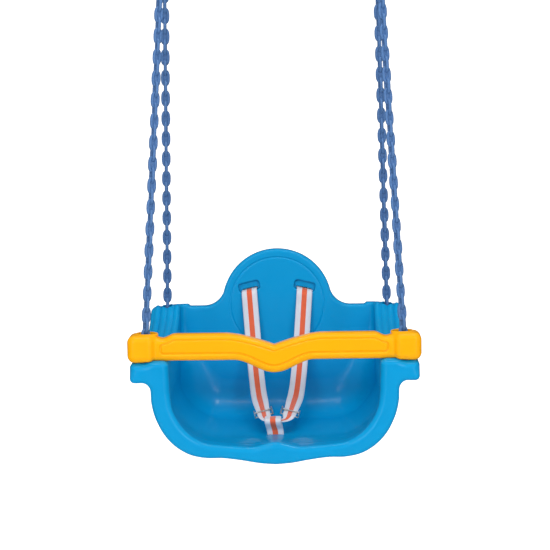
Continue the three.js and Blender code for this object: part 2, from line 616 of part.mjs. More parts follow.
function hookGate(side) {
  const x0 = HOOK_HALF_WIDTH - GATE_HALF_WIDTH;
  const x1 = HOOK_HALF_WIDTH + GATE_HALF_WIDTH;
  const shape = new THREE.Shape();
  shape.moveTo(x0, GATE_NOSE_Z + GATE_NOSE_GAP);
  shape.lineTo(x1, GATE_NOSE_Z + GATE_NOSE_GAP);
  shape.absarc(HOOK_HALF_WIDTH, GATE_PIVOT_Z, GATE_HALF_WIDTH, 0, Math.PI, false);
  const bar = prismXZ(tidy(shape.getPoints(8)), -GATE_HALF_THICKNESS, GATE_HALF_THICKNESS);
  const fork = box(0, 2 * HOOK_HALF_WIDTH, -GATE_SLOT_HALF_WIDTH, GATE_SLOT_HALF_WIDTH,
    GATE_PIVOT_Z - GATE_FORK_DEPTH, GATE_PIVOT_Z + HOLE_OVERRUN);
  return inHookFrame(cut(bar, [fork, gatePinHole()]), side);
}

const gatePin = (side) => inHookFrame(toSolid(rod(
  new THREE.Vector3(HOOK_HALF_WIDTH, -GATE_PIN_LENGTH / 2, GATE_PIVOT_Z),
  new THREE.Vector3(HOOK_HALF_WIDTH, GATE_PIN_LENGTH / 2, GATE_PIVOT_Z), GATE_PIN_RADIUS, 12)), side);

const SPRING_RADIUS = 2;
const SPRING_WIRE_RADIUS = 0.35;
const SPRING_TURNS = 2.5;
const SPRING_STEPS = 8; // per turn
const SPRING_PITCH = 1;
const SPRING_START_Y = -0.15;

function gateSpring(side) {
  const stations = SPRING_TURNS * SPRING_STEPS;
  const helix = Array.from({ length: stations + 1 }, (_, i) => {
    const turn = (i / SPRING_STEPS) * 2 * Math.PI;
    return [
      HOOK_HALF_WIDTH + SPRING_RADIUS * Math.cos(turn),
      SPRING_START_Y + SPRING_PITCH * (i / SPRING_STEPS),
      GATE_PIVOT_Z + SPRING_RADIUS * Math.sin(turn),
    ];
  });
  return inHookFrame(tube(helix, SPRING_WIRE_RADIUS, stations, 4), side);
}

// ---------------------------------------------------------------- harness

// Cross-sections along a path, as shares of its length: counts[i] of them on its i-th curve.
function stations(path, counts) {
  const ends = path.getCurveLengths();
  const starts = [0, ...ends];
  const marks = counts.flatMap((count, i) => Array.from({ length: count },
    (_, k) => starts[i] + (ends[i] - starts[i]) * ((k + 1) / count)));
  return [0, ...marks].map((mark) => mark / ends.at(-1));
}

// Webbing laid along a path: a long thin box bent so that its width follows a given direction.
function ribbon(path, width, acrossHint, shares) {
  const segments = shares.length - 1;
  const geometry = new THREE.BoxGeometry(width, 1, WEB_THICKNESS, 1, segments, 1);
  const position = geometry.attributes.position;
  for (let i = 0; i < position.count; i += 1) {
    const share = shares[Math.round((position.getY(i) + 0.5) * segments)];
    const tangent = path.getTangentAt(share);
    const across = acrossHint.clone().addScaledVector(tangent, -acrossHint.dot(tangent)).normalize();
    const normal = new THREE.Vector3().crossVectors(across, tangent);
    const point = path.getPointAt(share)
      .addScaledVector(across, position.getX(i))
      .addScaledVector(normal, position.getZ(i));
    position.setXYZ(i, ...point);
  }
  return toSolid(geometry);
}

// The shoulder strap's course on the +X side: a straight lower run from foot to knee, where the
// buckle slides, a curve up the backrest to the neck, then over the lip of the slot to its rod.
const STRAP_FOOT = new THREE.Vector3(18.5, -37, 51.5);
const STRAP_KNEE = new THREE.Vector3(27.5, 30, 66);
const STRAP_BENDS = [[33.7, 76, 76], [39.5, 105, 160]];
const STRAP_NECK = [43.6, 111, 215];
const STRAP_SLIT_Z = SLOT_Z - SLIT_DROP;
const STRAP_NECK_BEND = [44.4, 112.2, STRAP_SLIT_Z];
const STRAP_LIP = [SLOT_X, 121, STRAP_SLIT_Z];

const onSide = (point, side) => new THREE.Vector3(side * point.x, point.y, point.z);
const slotAcross = (side) => new THREE.Vector3(Math.cos(SLOT_TILT), 0, -side * Math.sin(SLOT_TILT));

function shoulderRun(side) {
  const path = new THREE.CurvePath();
  const point = ([x, y, z]) => new THREE.Vector3(side * x, y, z);
  const foot = onSide(STRAP_FOOT, side);
  const knee = onSide(STRAP_KNEE, side);
  const neck = point(STRAP_NECK);
  const lip = point(STRAP_LIP);
  const end = point([SLOT_X, KEEPER_Y - KEEPER_RADIUS - 1, STRAP_SLIT_Z]);
  path.add(new THREE.LineCurve3(foot, knee));
  path.add(new THREE.CubicBezierCurve3(knee, ...STRAP_BENDS.map(point), neck));
  path.add(new THREE.QuadraticBezierCurve3(neck, point(STRAP_NECK_BEND), lip));
  path.add(new THREE.LineCurve3(lip, end));
  return ribbon(path, WEB_WIDTH, slotAcross(side), stations(path, [1, 12, 6, 1]));
}

// A stitched loop of webbing round a keeper rod that lies along X at the origin.
const keeperLoop = () => prismYZ(circle(0, 0, KEEPER_RADIUS + GAP + WEB_THICKNESS, 16),
  -WEB_WIDTH / 2, WEB_WIDTH / 2, { holes: [circle(0, 0, KEEPER_RADIUS + GAP, 16)] });

const atSlot = (solid, side) => solid
  .rotate([0, side * THREE.MathUtils.radToDeg(SLOT_TILT), 0])
  .translate([side * SLOT_X, KEEPER_Y, STRAP_SLIT_Z]);

const strapKeeper = (side) => atSlot(toSolid(rod(new THREE.Vector3(-KEEPER_LENGTH / 2, 0, 0),
  new THREE.Vector3(KEEPER_LENGTH / 2, 0, 0), KEEPER_RADIUS)), side);

// The webbing is gathered where it passes through the crotch loop from one strap to the other.
const GATHERED_WIDTH = 14;
const GATHERED_COURSE = [[-27, -38, 50.5], [-13, CROTCH_Y + 2, 47], [13, CROTCH_Y + 2, 47],
  [27, -38, 50.5]];

function harnessStrap() {
  const sides = Object.values(SIDES);
  const link = new THREE.CurvePath();
  link.add(new THREE.CatmullRomCurve3(GATHERED_COURSE.map((p) => new THREE.Vector3(...p))));
  return join([
    ...sides.map(shoulderRun),
    ...sides.map((side) => atSlot(keeperLoop(), side)),
    ribbon(link, GATHERED_WIDTH, new THREE.Vector3(0, 1, 0.1), stations(link, [8])),
  ]);
}

const CROTCH_NECK_Z = 37; // below this height the loop's two layers lie together
const CROTCH_NECK_HALF = 1.9;
const CROTCH_LOOP_HALF = 15; // half the loop's span from front to back, at its top
const CROTCH_OPENING = { half: 12.6, top: CROTCH_TOP_Z - 1.7 };

// Crotch strap: a webbing loop that rises from the floor slot round the harness and is held by
// a keeper rod in a pocket under the floor.
function crotchStrap() {
  const front = CROTCH_Y - CROTCH_NECK_HALF;
  const back = CROTCH_Y + CROTCH_NECK_HALF;
  const outer = rounded([
    [CROTCH_Y - CROTCH_LOOP_HALF, CROTCH_TOP_Z, 5], [front, CROTCH_NECK_Z, 5], [front, 6, 0],
    [back, 6, 0], [back, CROTCH_NECK_Z, 5], [CROTCH_Y + CROTCH_LOOP_HALF, CROTCH_TOP_Z, 5]]);
  const opening = rounded([
    [CROTCH_Y - CROTCH_OPENING.half, CROTCH_OPENING.top, 2.4], [CROTCH_Y, CROTCH_NECK_Z, 1.5],
    [CROTCH_Y + CROTCH_OPENING.half, CROTCH_OPENING.top, 2.4]]);
  const loop = prismYZ(outer, -WEB_WIDTH / 2, WEB_WIDTH / 2, { holes: [opening] });
  const bore = crotchRod(WEB_WIDTH, KEEPER_RADIUS + GAP);
  return loop.add(keeperLoop().translate([0, CROTCH_Y, CROTCH_KEEPER_Z])).subtract(toSolid(bore));
}

const crotchRod = (halfLength, radius) => rod(
  new THREE.Vector3(-halfLength, CROTCH_Y, CROTCH_KEEPER_Z),
  new THREE.Vector3(halfLength, CROTCH_Y, CROTCH_KEEPER_Z), radius);

const GLIDE_SHARE = 0.24; // how far up the straight run the buckle sits
const GLIDE_HALF_WIDTH = 16.2;
const GLIDE_HALF_LENGTH = 8;
const GLIDE_BAR_RADIUS = 1.2;
const GLIDE_RAIL = { inset: 1, halfWidth: 1.3, overhang: 1.2, rise: 1 };

// Three-bar buckle: the outer bars lie under the webbing and the middle bar over it.
function triGlide(side) {
  const foot = onSide(STRAP_FOOT, side);
  const knee = onSide(STRAP_KNEE, side);
  const along = new THREE.Vector3().subVectors(knee, foot).normalize();
  const hint = slotAcross(side);
  const across = hint.addScaledVector(along, -hint.dot(along)).normalize();
  const normal = new THREE.Vector3().crossVectors(across, along);
  const offset = WEB_THICKNESS / 2 + GAP + GLIDE_BAR_RADIUS;
  const bar = (v, w) => toSolid(rod(new THREE.Vector3(-GLIDE_HALF_WIDTH, v, w),
    new THREE.Vector3(GLIDE_HALF_WIDTH, v, w), GLIDE_BAR_RADIUS, 8));
  const railHalfLength = GLIDE_HALF_LENGTH + GLIDE_RAIL.overhang;
  const railX = GLIDE_HALF_WIDTH - GLIDE_RAIL.inset;
  const rail = (u) => box(u - GLIDE_RAIL.halfWidth, u + GLIDE_RAIL.halfWidth,
    -railHalfLength, railHalfLength, -offset - GLIDE_RAIL.rise, offset + GLIDE_RAIL.rise);
  const frame = join([
    bar(-GLIDE_HALF_LENGTH, -offset), bar(0, offset), bar(GLIDE_HALF_LENGTH, -offset),
    rail(-railX), rail(railX),
  ]);
  const place = new THREE.Matrix4().makeBasis(across, along, normal)
    .setPosition(new THREE.Vector3().lerpVectors(foot, knee, GLIDE_SHARE));
  return toGeometry(frame).applyMatrix4(place);
}

// ---------------------------------------------------------------- assembly

const swing = new THREE.Group();

function add(name, shape, look) {
  const geometry = shape.isBufferGeometry ? shape : toGeometry(shape);
  const mesh = new THREE.Mesh(geometry, look);
  mesh.name = name;
  swing.add(mesh);
}

add('seat_shell', seatShell(), MATERIALS.seat);
add('lap_bar', lapBar(), MATERIALS.bar);
add('harness_strap', harnessStrap(), MATERIALS.webbing);
add('crotch_strap', crotchStrap(), MATERIALS.webbing);
add('crotch_keeper', crotchRod(KEEPER_LENGTH / 2, KEEPER_RADIUS), MATERIALS.steel);

for (const [name, side] of Object.entries(SIDES)) {
  add(`chain_front_${name}`, chain(side, FRONT_PIN), MATERIALS.chain);
  add(`chain_rear_${name}`, chain(side, REAR_PIN), MATERIALS.chain);
  add(`chain_pin_front_${name}`, chainPin(side, FRONT_PIN), MATERIALS.steel);
  add(`chain_pin_rear_${name}`, chainPin(side, REAR_PIN), MATERIALS.steel);
  add(`ring_${name}`, chainRing(side), MATERIALS.steel);
  add(`snap_hook_${name}`, snapHook(side), MATERIALS.steel);
  add(`hook_gate_${name}`, hookGate(side), MATERIALS.steel);
  add(`gate_pin_${name}`, gatePin(side), MATERIALS.steel);
  add(`gate_spring_${name}`, gateSpring(side), MATERIALS.steel);
  add(`strap_keeper_${name}`, strapKeeper(side), MATERIALS.steel);
  add(`tri_glide_${name}`, triGlide(side), MATERIALS.steel);
}

export default swing;
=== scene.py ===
"""Toddler bucket swing: the finished surfaces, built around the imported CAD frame.

Moulded parts are modelled as distance fields in millimetres and meshed from them, so that every edge
is round as on a blow-moulded part. Chains, webbing and wire parts are swept along their own paths.
"""

import math

import bmesh
import bpy
import numpy as np
import openvdb
from mathutils import Matrix, Vector


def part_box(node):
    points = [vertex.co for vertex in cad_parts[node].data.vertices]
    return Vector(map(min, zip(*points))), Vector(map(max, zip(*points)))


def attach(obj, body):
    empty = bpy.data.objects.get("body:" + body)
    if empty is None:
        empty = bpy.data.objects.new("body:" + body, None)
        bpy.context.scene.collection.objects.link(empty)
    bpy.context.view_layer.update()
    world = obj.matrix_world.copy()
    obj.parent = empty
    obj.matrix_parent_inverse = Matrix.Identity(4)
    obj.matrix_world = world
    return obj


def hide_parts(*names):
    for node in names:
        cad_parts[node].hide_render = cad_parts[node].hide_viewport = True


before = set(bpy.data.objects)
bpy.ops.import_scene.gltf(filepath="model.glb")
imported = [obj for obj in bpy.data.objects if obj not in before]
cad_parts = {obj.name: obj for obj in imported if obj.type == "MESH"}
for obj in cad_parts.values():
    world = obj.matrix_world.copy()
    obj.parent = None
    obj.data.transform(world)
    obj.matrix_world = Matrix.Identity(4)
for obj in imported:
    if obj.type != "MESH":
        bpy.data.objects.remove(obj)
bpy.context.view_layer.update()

MM = 0.001
SIDES = {"left": -1, "right": 1}


# ---------------------------------------------------------------- places read from the frame

def box_mm(node):
    low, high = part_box(node)
    return np.array(low) / MM, np.array(high) / MM


def centre_mm(node):
    low, high = box_mm(node)
    return (low + high) / 2


seat_low, seat_high = box_mm("seat_shell")
bar_low, bar_high = box_mm("lap_bar")
ring_low, ring_high = box_mm("ring_right")
RING_CENTRE = (ring_low + ring_high) / 2
FRONT_PIN = centre_mm("chain_pin_front_right")
REAR_PIN = centre_mm("chain_pin_rear_right")

EAR_HALF_WIDTH = seat_high[0]
SEAT_FRONT = seat_low[1]
SEAT_BACK = seat_high[1]
CROWN_Z = seat_high[2]
BAR_HALF_WIDTH = bar_high[0]
BAR_TOP = bar_high[2]
BAR_Y = (bar_low[1] + bar_high[1]) / 2
BAR_DEPTH = bar_high[1] - bar_low[1]

# ---------------------------------------------------------------- seat dimensions, millimetres

WALL = 22
BACKREST_FACE = SEAT_BACK - WALL
TUB_HALF_WIDTH = 155
RIM_Z = 201
RAIL_Z = 152
RAIL_THICKNESS = 29
RAIL_REAR_HALF_WIDTH = EAR_HALF_WIDTH - 10
RIB_SPACING = 10.4
FIRST_RIB = 160
RIB_HEIGHT = 3.4
DISC_RADIUS = 88
DISC_Z = CROWN_Z - DISC_RADIUS
DISC_FILLET = 34
SLOT_X = 44.5
SLOT_Z = 232.3
SLOT_TILT = math.radians(13)
SLIT_DROP = 5.2
ANCHOR_PLATE = 14
CHAIN_HOLE_RADIUS = 7.8
CROTCH_Y = -49


# ---------------------------------------------------------------- distance fields

def meet(a, b, r):
    """Intersection of two fields with a round edge of radius r."""
    return np.minimum(-r, np.maximum(a, b)) + np.hypot(np.maximum(a + r, 0), np.maximum(b + r, 0))


def fuse(a, b, r):
    """Union of two fields with a hollow fillet of radius r."""
    return np.maximum(r, np.minimum(a, b)) - np.hypot(np.maximum(r - a, 0), np.maximum(r - b, 0))


def carve(a, b, r):
    """Field a with b cut away, the rim of the cut rounded by r."""
    return meet(a, -b, r)


def step(u, start, end):
    """Smooth step from 0 at start to 1 at end."""
    t = np.clip((u - start) / (end - start), 0, 1)
    return t * t * (3 - 2 * t)


def line_distance(x, y, z, point, along):
    """Distance from (x, y, z) to the line through a point."""
    dx, dy, dz = x - point[0], y - point[1], z - point[2]
    t = dx * along[0] + dy * along[1] + dz * along[2]
    return np.sqrt((dx - t * along[0]) ** 2 + (dy - t * along[1]) ** 2 + (dz - t * along[2]) ** 2)


def smooth_line(points, count):
    """Catmull-Rom curve through the points, as count samples for each stretch."""
    p = np.array(points, float)
    ends = np.vstack([2 * p[0] - p[1], p, 2 * p[-1] - p[-2]])
    out = []
    for a, b, c, d in zip(ends, ends[1:], ends[2:], ends[3:]):
        for t in np.arange(count) / count:
            out.append(0.5 * (2 * b + (c - a) * t + (2 * a - 5 * b + 4 * c - d) * t ** 2
                              + (3 * b - a - 3 * c + d) * t ** 3))
    return np.vstack([out, p[-1:]])


class Outline:
    """Signed distance to a closed outline, kept in a table and read between its cells."""

    def __init__(self, points, low, high, cell):
        self.low, self.cell = low, cell
        u = np.arange(low[0], high[0] + cell, cell)[:, None]
        v = np.arange(low[1], high[1] + cell, cell)[None, :]
        nearest = np.full((u.size, v.size), np.inf)
        inside = np.zeros(nearest.shape, bool)
        for (u0, v0), (u1, v1) in zip(points, np.roll(points, -1, axis=0)):
            du, dv = u1 - u0, v1 - v0
            length = du * du + dv * dv
            if length < 1e-12:
                continue
            t = np.clip(((u - u0) * du + (v - v0) * dv) / length, 0, 1)
            nearest = np.minimum(nearest, (u - u0 - t * du) ** 2 + (v - v0 - t * dv) ** 2)
            if v0 != v1:
                inside ^= ((v0 <= v) != (v1 <= v)) & (u < u0 + (v - v0) * du / dv)
        self.table = np.sqrt(nearest) * np.where(inside, -1, 1)

    def __call__(self, u, v):
        i = np.clip((u - self.low[0]) / self.cell, 0, self.table.shape[0] - 1.001)
        j = np.clip((v - self.low[1]) / self.cell, 0, self.table.shape[1] - 1.001)
        i0, j0 = i.astype(int), j.astype(int)
        i, j = i - i0, j - j0
        t = self.table
        near = t[i0, j0] * (1 - j) + t[i0, j0 + 1] * j
        far = t[i0 + 1, j0] * (1 - j) + t[i0 + 1, j0 + 1] * j
        return near * (1 - i) + far * i


def mirrored(half):
    """A closed outline from its right half, listed from the bottom middle upwards."""
    left = [(-u, v) for u, v in reversed(list(half)) if u > 0.01]
    return np.array([tuple(p) for p in half] + left)


# ---------------------------------------------------------------- meshes

def gradient(field, points, reach):
    """Field gradient at points by central differences."""
    parts = []
    for axis in range(3):
        shift = np.zeros(3)
        shift[axis] = reach
        parts.append(field(*(points + shift).T) - field(*(points - shift).T))
    return np.stack(parts, axis=1) / (2 * reach)


def settle(field, points, reach, rounds=2):
    """Moves points onto the zero surface of a field."""
    for _ in range(rounds):
        slope = gradient(field, points, reach)
        length = np.maximum((slope ** 2).sum(1), 0.2)
        points = points - slope * (field(*points.T) / length)[:, None]
    return points


def new_object(name, vertices, faces):
    mesh = bpy.data.meshes.new(name)
    mesh.from_pydata((np.asarray(vertices) * MM).tolist(), [], [tuple(f) for f in faces])
    mesh.validate()
    mesh.polygons.foreach_set("use_smooth", [True] * len(mesh.polygons))
    piece = bpy.data.objects.new(name, mesh)
    bpy.context.scene.collection.objects.link(piece)
    return piece


def decimated(piece, triangles):
    """Collapses a piece's mesh to about this many triangles, which keeps its fine edges."""
    modifier = piece.modifiers.new("decimate", "DECIMATE")
    now = sum(len(p.vertices) - 2 for p in piece.data.polygons)
    modifier.ratio = min(1, triangles / now)
    evaluated = piece.evaluated_get(bpy.context.evaluated_depsgraph_get())
    mesh = bpy.data.meshes.new_from_object(evaluated)
    piece.modifiers.clear()
    old = piece.data
    piece.data = mesh
    bpy.data.meshes.remove(old)


def moulded(name, field, low, high, voxel, triangles, symmetric=True):
    """Meshes the inside of a field between two corners, with its normals taken from the field."""
    low, high = np.array(low, float), np.array(high, float)
    if symmetric:
        low[0] = -voxel * math.ceil(high[0] / voxel)
    axes = [np.arange(low[i], high[i] + voxel, voxel) for i in range(3)]
    half = math.ceil(high[0] / voxel)
    xs = axes[0][half:] if symmetric else axes[0]
    values = field(xs[:, None, None], axes[1][None, :, None], axes[2][None, None, :])
    if symmetric:
        values = values[:half + 1]
        values = np.concatenate([values[:0:-1], values])
    grid = openvdb.FloatGrid(3 * voxel)
    grid.copyFromArray(np.ascontiguousarray(np.clip(values, -3 * voxel, 3 * voxel), dtype=np.float32))
    points, quads = grid.convertToQuads(0.0)
    points = settle(field, points.astype(float) * voxel + low, voxel / 4)
    piece = new_object(name, points, quads)
    decimated(piece, triangles)
    finish_normals(piece, field, voxel / 3)
    return piece


def finish_normals(piece, field, reach):
    """Settles a piece's points on the field and takes its normals from the field's gradient."""
    mesh = piece.data
    points = np.empty(3 * len(mesh.vertices))
    mesh.vertices.foreach_get("co", points)
    points = settle(field, points.reshape(-1, 3) / MM, reach, 1)
    mesh.vertices.foreach_set("co", (points * MM).ravel())
    normals = gradient(field, points, reach)
    normals /= np.maximum(np.linalg.norm(normals, axis=1), 1e-9)[:, None]
    mesh.polygons.foreach_set("use_smooth", [True] * len(mesh.polygons))
    mesh.normals_split_custom_set_from_vertices(normals.tolist())
    mesh.update()


def frames_along(path, hint):
    """Unit across and normal at each point of a path; across stays close to the hint."""
    tangent = np.gradient(path, axis=0)
    tangent /= np.linalg.norm(tangent, axis=1)[:, None]
    hint = np.broadcast_to(hint, path.shape)
    across = hint - tangent * (hint * tangent).sum(1)[:, None]
    across /= np.linalg.norm(across, axis=1)[:, None]
    return across, np.cross(across, tangent)


def swept(path, section, hint, closed=False):
    """Vertices and faces of a section of (across, normal) offsets swept along a path."""
    path = np.asarray(path, float)
    if closed:
        wrapped = np.vstack([path[-1:], path, path[:1]])
        across, normal = (part[1:-1] for part in frames_along(wrapped, hint))
    else:
        across, normal = frames_along(path, hint)
    section = np.asarray(section, float)
    rings = (path[:, None] + section[None, :, :1] * across[:, None]
             + section[None, :, 1:] * normal[:, None])
    n, m = len(path), len(section)
    faces = []
    for i in range(n if closed else n - 1):
        for k in range(m):
            a, b = i * m + k, i * m + (k + 1) % m
            c, d = ((i + 1) % n) * m + (k + 1) % m, ((i + 1) % n) * m + k
            faces.append((a, b, c, d))
    if not closed:
        faces.append(tuple(reversed(range(m))))
        faces.append(tuple(range((n - 1) * m, n * m)))
    return rings.reshape(-1, 3), faces


def merged(parts):
    """Joins lists of (vertices, faces) into one."""
    vertices, faces, start = [], [], 0
    for part_vertices, part_faces in parts:
        vertices.append(part_vertices)
        faces += [tuple(i + start for i in face) for face in part_faces]
        start += len(part_vertices)
    return np.vstack(vertices), faces


def circle(radius, count):
    turn = np.arange(count) * 2 * math.pi / count
    return np.stack([radius * np.cos(turn), radius * np.sin(turn)], axis=1)


def outward(piece):
    """Turns the faces of a piece's closed parts outwards."""
    work = bmesh.new()
    work.from_mesh(piece.data)
    bmesh.ops.recalc_face_normals(work, faces=work.faces)
    work.to_mesh(piece.data)
    work.free()


# ---------------------------------------------------------------- materials

def rgb(r, g, b):
    """Linear colour from 0-255 display values."""
    return tuple(((c / 255 + 0.055) / 1.055) ** 2.4 if c > 10 else c / 255 / 12.92
                 for c in (r, g, b)) + (1.0,)


def darker(colour, *shares):
    """The colour with its three channels scaled, by one share or by one each."""
    shares = shares if len(shares) == 3 else shares * 3
    return tuple(part * share for part, share in zip(colour[:3], shares)) + (1.0,)


class Nodes:
    """Small helper that adds and links shader nodes."""

    def __init__(self, name):
        self.material = bpy.data.materials.new(name)
        self.material.use_nodes = True
        self.tree = self.material.node_tree
        self.shader = self.tree.nodes["Principled BSDF"]

    def add(self, kind, values=None, **settings):
        node = self.tree.nodes.new(kind)
        for key, value in settings.items():
            setattr(node, key, value)
        for key, value in (values or {}).items():
            if isinstance(value, bpy.types.NodeSocket):
                self.tree.links.new(value, node.inputs[key])
            else:
                node.inputs[key].default_value = value
        return node

    def math(self, operation, a, b=0.0, c=0.0):
        return self.add("ShaderNodeMath", {0: a, 1: b, 2: c}, operation=operation).outputs[0]

    def mix(self, share, a, b):
        node = self.add("ShaderNodeMix", data_type="RGBA")
        for key, value in (("Factor", share), ("A", a), ("B", b)):
            socket = [s for s in node.inputs if s.name == key and s.enabled][0]
            if isinstance(value, bpy.types.NodeSocket):
                self.tree.links.new(value, socket)
            else:
                socket.default_value = value
        return [s for s in node.outputs if s.enabled][0]

    def noise(self, vector, scale, detail=3.0):
        values = {"Vector": vector, "Scale": scale, "Detail": detail}
        return self.add("ShaderNodeTexNoise", values).outputs[0]

    def set(self, **values):
        for key, value in values.items():
            socket = self.shader.inputs[key.replace("_", " ")]
            if isinstance(value, bpy.types.NodeSocket):
                self.tree.links.new(value, socket)
            else:
                socket.default_value = value

    def bump(self, height, strength, distance):
        node = self.add("ShaderNodeBump", {"Height": height, "Strength": strength, "Distance": distance})
        self.set(Normal=node.outputs[0])


def moulded_plastic(name, colour, deep, pale, roughness):
    """Satin polyethylene: faint mottling, orange-peel surface, paler scuffed edges, and painted shade that
    darkens the hollows.
    """
    n = Nodes(name)
    place = n.add("ShaderNodeTexCoord").outputs["Object"]
    edge = n.add("ShaderNodeNewGeometry").outputs["Pointiness"]
    rim = n.add("ShaderNodeMapRange", {"Value": edge, "From Min": 0.52, "From Max": 0.6}).outputs[0]
    scuff = n.math("MULTIPLY", rim, n.noise(place, 35.0))
    base = n.mix(n.math("MULTIPLY", n.noise(place, 12.0), 0.6), colour, deep)
    # Painted shade: the colour turns darker where the surface is hollow, as in grooves and inside corners.
    painted_hollow_shade = n.add("ShaderNodeMapRange", {"Value": edge, "From Min": 0.485, "From Max": 0.42}).outputs[0]
    base = n.mix(n.math("MULTIPLY", painted_hollow_shade, 0.8), base, darker(deep, 0.75, 0.6, 0.7))
    n.set(Base_Color=n.mix(n.math("MULTIPLY", scuff, 0.9), base, pale))
    n.set(Roughness=n.math("MULTIPLY_ADD", n.noise(place, 60.0), 0.1, roughness - 0.05))
    n.set(Specular_IOR_Level=0.24)
    fine = n.math("MULTIPLY", n.noise(place, 900.0, 2.0), 0.3)
    n.bump(n.math("MULTIPLY_ADD", n.noise(place, 260.0, 2.0), 0.7, fine), 0.2, 0.0003)
    return n.material


def coated_chain(name, colour, deep):
    """Dipped plastic coating: soft sheen, uneven thickness, and painted shade that darkens the hollows."""
    n = Nodes(name)
    place = n.add("ShaderNodeTexCoord").outputs["Object"]
    edge = n.add("ShaderNodeNewGeometry").outputs["Pointiness"]
    # Painted shade: the colour turns darker in the hollows of each link.
    painted_hollow_shade = n.add("ShaderNodeMapRange", {"Value": edge, "From Min": 0.56, "From Max": 0.46}).outputs[0]
    base = n.mix(n.math("MULTIPLY", painted_hollow_shade, 0.7), colour, deep)
    n.set(Base_Color=n.mix(n.math("MULTIPLY", n.noise(place, 220.0), 0.4), base, deep))
    n.set(Roughness=n.math("MULTIPLY_ADD", n.noise(place, 300.0), 0.2, 0.32), IOR=1.5)
    n.bump(n.noise(place, 420.0, 2.0), 0.5, 0.0006)
    return n.material


def bright_steel(name, colour, roughness):
    """Zinc-plated steel: fine brushed marks and slightly dull patches."""
    n = Nodes(name)
    place = n.add("ShaderNodeTexCoord").outputs["Object"]
    patch = n.noise(place, 180.0)
    n.set(Base_Color=n.mix(patch, colour, darker(colour, 0.8)))
    n.set(Metallic=1.0, Roughness=n.math("MULTIPLY_ADD", n.noise(place, 700.0), 0.25, roughness - 0.1))
    n.bump(n.noise(place, 1500.0, 2.0), 0.2, 0.0002)
    return n.material


STRIPE_HALF = 0.165
WARP_THREADS = 26
WEFT_THREADS = 22


def striped_webbing(name, ground, stripe):
    """Woven tape with one wide stripe: u runs across it, v along it in tape widths."""
    n = Nodes(name)
    uv = n.add("ShaderNodeSeparateXYZ", {0: n.add("ShaderNodeUVMap", uv_map="UVMap").outputs[0]})
    across, along = uv.outputs[0], uv.outputs[1]
    from_middle = n.math("ABSOLUTE", n.math("SUBTRACT", across, 0.5))
    inside = n.math("LESS_THAN", from_middle, STRIPE_HALF)
    warp = n.math("SINE", n.math("MULTIPLY", across, 2 * math.pi * WARP_THREADS))
    shift = n.math("MULTIPLY", warp, 1.2)
    weft = n.math("SINE", n.math("MULTIPLY_ADD", along, 2 * math.pi * WEFT_THREADS, shift))
    weave = n.math("MULTIPLY_ADD", n.math("MULTIPLY", warp, weft), 0.25, 0.5)
    place = n.add("ShaderNodeTexCoord").outputs["Object"]
    soil = n.noise(place, 90.0)
    white = n.mix(soil, ground, darker(ground, 0.88))
    orange = n.mix(soil, stripe, darker(stripe, 0.8))
    n.set(Base_Color=n.mix(inside, white, orange))
    n.set(Roughness=0.75, Sheen_Weight=0.35, Sheen_Roughness=0.4)
    n.bump(weave, 0.5, 0.0005)
    return n.material


seat_blue = moulded_plastic("seat_blue", rgb(0, 153, 211), rgb(0, 144, 203), rgb(24, 168, 224), 0.24)
bar_yellow = moulded_plastic("bar_yellow", rgb(255, 177, 0), rgb(255, 168, 0), rgb(255, 194, 30), 0.24)
chain_blue = coated_chain("chain_blue", rgb(82, 122, 174), rgb(46, 86, 142))
steel = bright_steel("zinc_steel", (0.62, 0.63, 0.64, 1.0), 0.28)
webbing = striped_webbing("webbing", rgb(218, 220, 230), rgb(236, 102, 64))


def finish_piece(piece, material, body, slot, *nodes):
    """Gives a piece its material and body, and hides the CAD nodes it stands for. The slot is not used."""
    piece.data.materials.clear()
    piece.data.materials.append(material)
    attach(piece, body)
    if nodes:
        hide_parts(*nodes)


# ---------------------------------------------------------------- chain lines

RING_WIRE = 1.9
RING_RADIUS = (ring_high[2] - ring_low[2]) / 2 - RING_WIRE
RING_IN_LINK = 5.5
CHAIN_PIN_IN_LINK = 5.3
LINK_PITCH = 16
CHAIN_WIRE = 2.5
LINK_ARC = 4.6


def chain_line(pin):
    """Top point, direction and link places of the right-hand chain that ends on a pin."""
    lean = (pin[0] - RING_CENTRE[0]) / (RING_CENTRE[2] - RING_RADIUS - pin[2])
    top = np.array([RING_CENTRE[0] - lean * RING_RADIUS, RING_CENTRE[1], RING_CENTRE[2]])
    length = np.linalg.norm(pin - top)
    run = length - RING_RADIUS - RING_IN_LINK - CHAIN_PIN_IN_LINK
    count = round(run / LINK_PITCH) + 1
    places = RING_RADIUS + RING_IN_LINK + np.arange(count) * run / (count - 1)
    return top, (pin - top) / length, places, run / (count - 1)


FRONT_LINE = chain_line(FRONT_PIN)
REAR_LINE = chain_line(REAR_PIN)


# ---------------------------------------------------------------- seat

WALL_HALF = [*smooth_line([(0, 0), (24, 2), (50, 6.5), (77, 10), (103, 10.5), (127, 16), (148, 29),
                           (164, 47), (175.5, 70), (181, 92), (182, 112)], 8), (182, 400)]
LIP_HALF = [*smooth_line([(0, 34.2), (6, 33.8), (19, 30.6), (37, 27), (58, 28.5), (78, 30.2),
                          (98, 32.5), (111, 37), (126, 47), (139, 62), (149.5, 83), (154, 108)], 8),
            (TUB_HALF_WIDTH, 141), (TUB_HALF_WIDTH, 480)]
TUB_HALF = [*smooth_line([(0, 33), (30, 32.5), (60, 32.5), (85, 33.5), (102, 36.5), (117, 44), (130, 55),
                          (142, 71), (150.5, 91), (154, 112)], 8),
            (TUB_HALF_WIDTH, 141), (TUB_HALF_WIDTH, 480)]

# Corners and cell of the outlines' tables; the fields only ask for x of zero or more.
SEAT_TABLE = ((-2, -12), (240, 320), 0.8)
wall_outline = Outline(mirrored(WALL_HALF), *SEAT_TABLE)
lip_outline = Outline(mirrored(LIP_HALF), *SEAT_TABLE)
tub_outline = Outline(mirrored(TUB_HALF), *SEAT_TABLE)

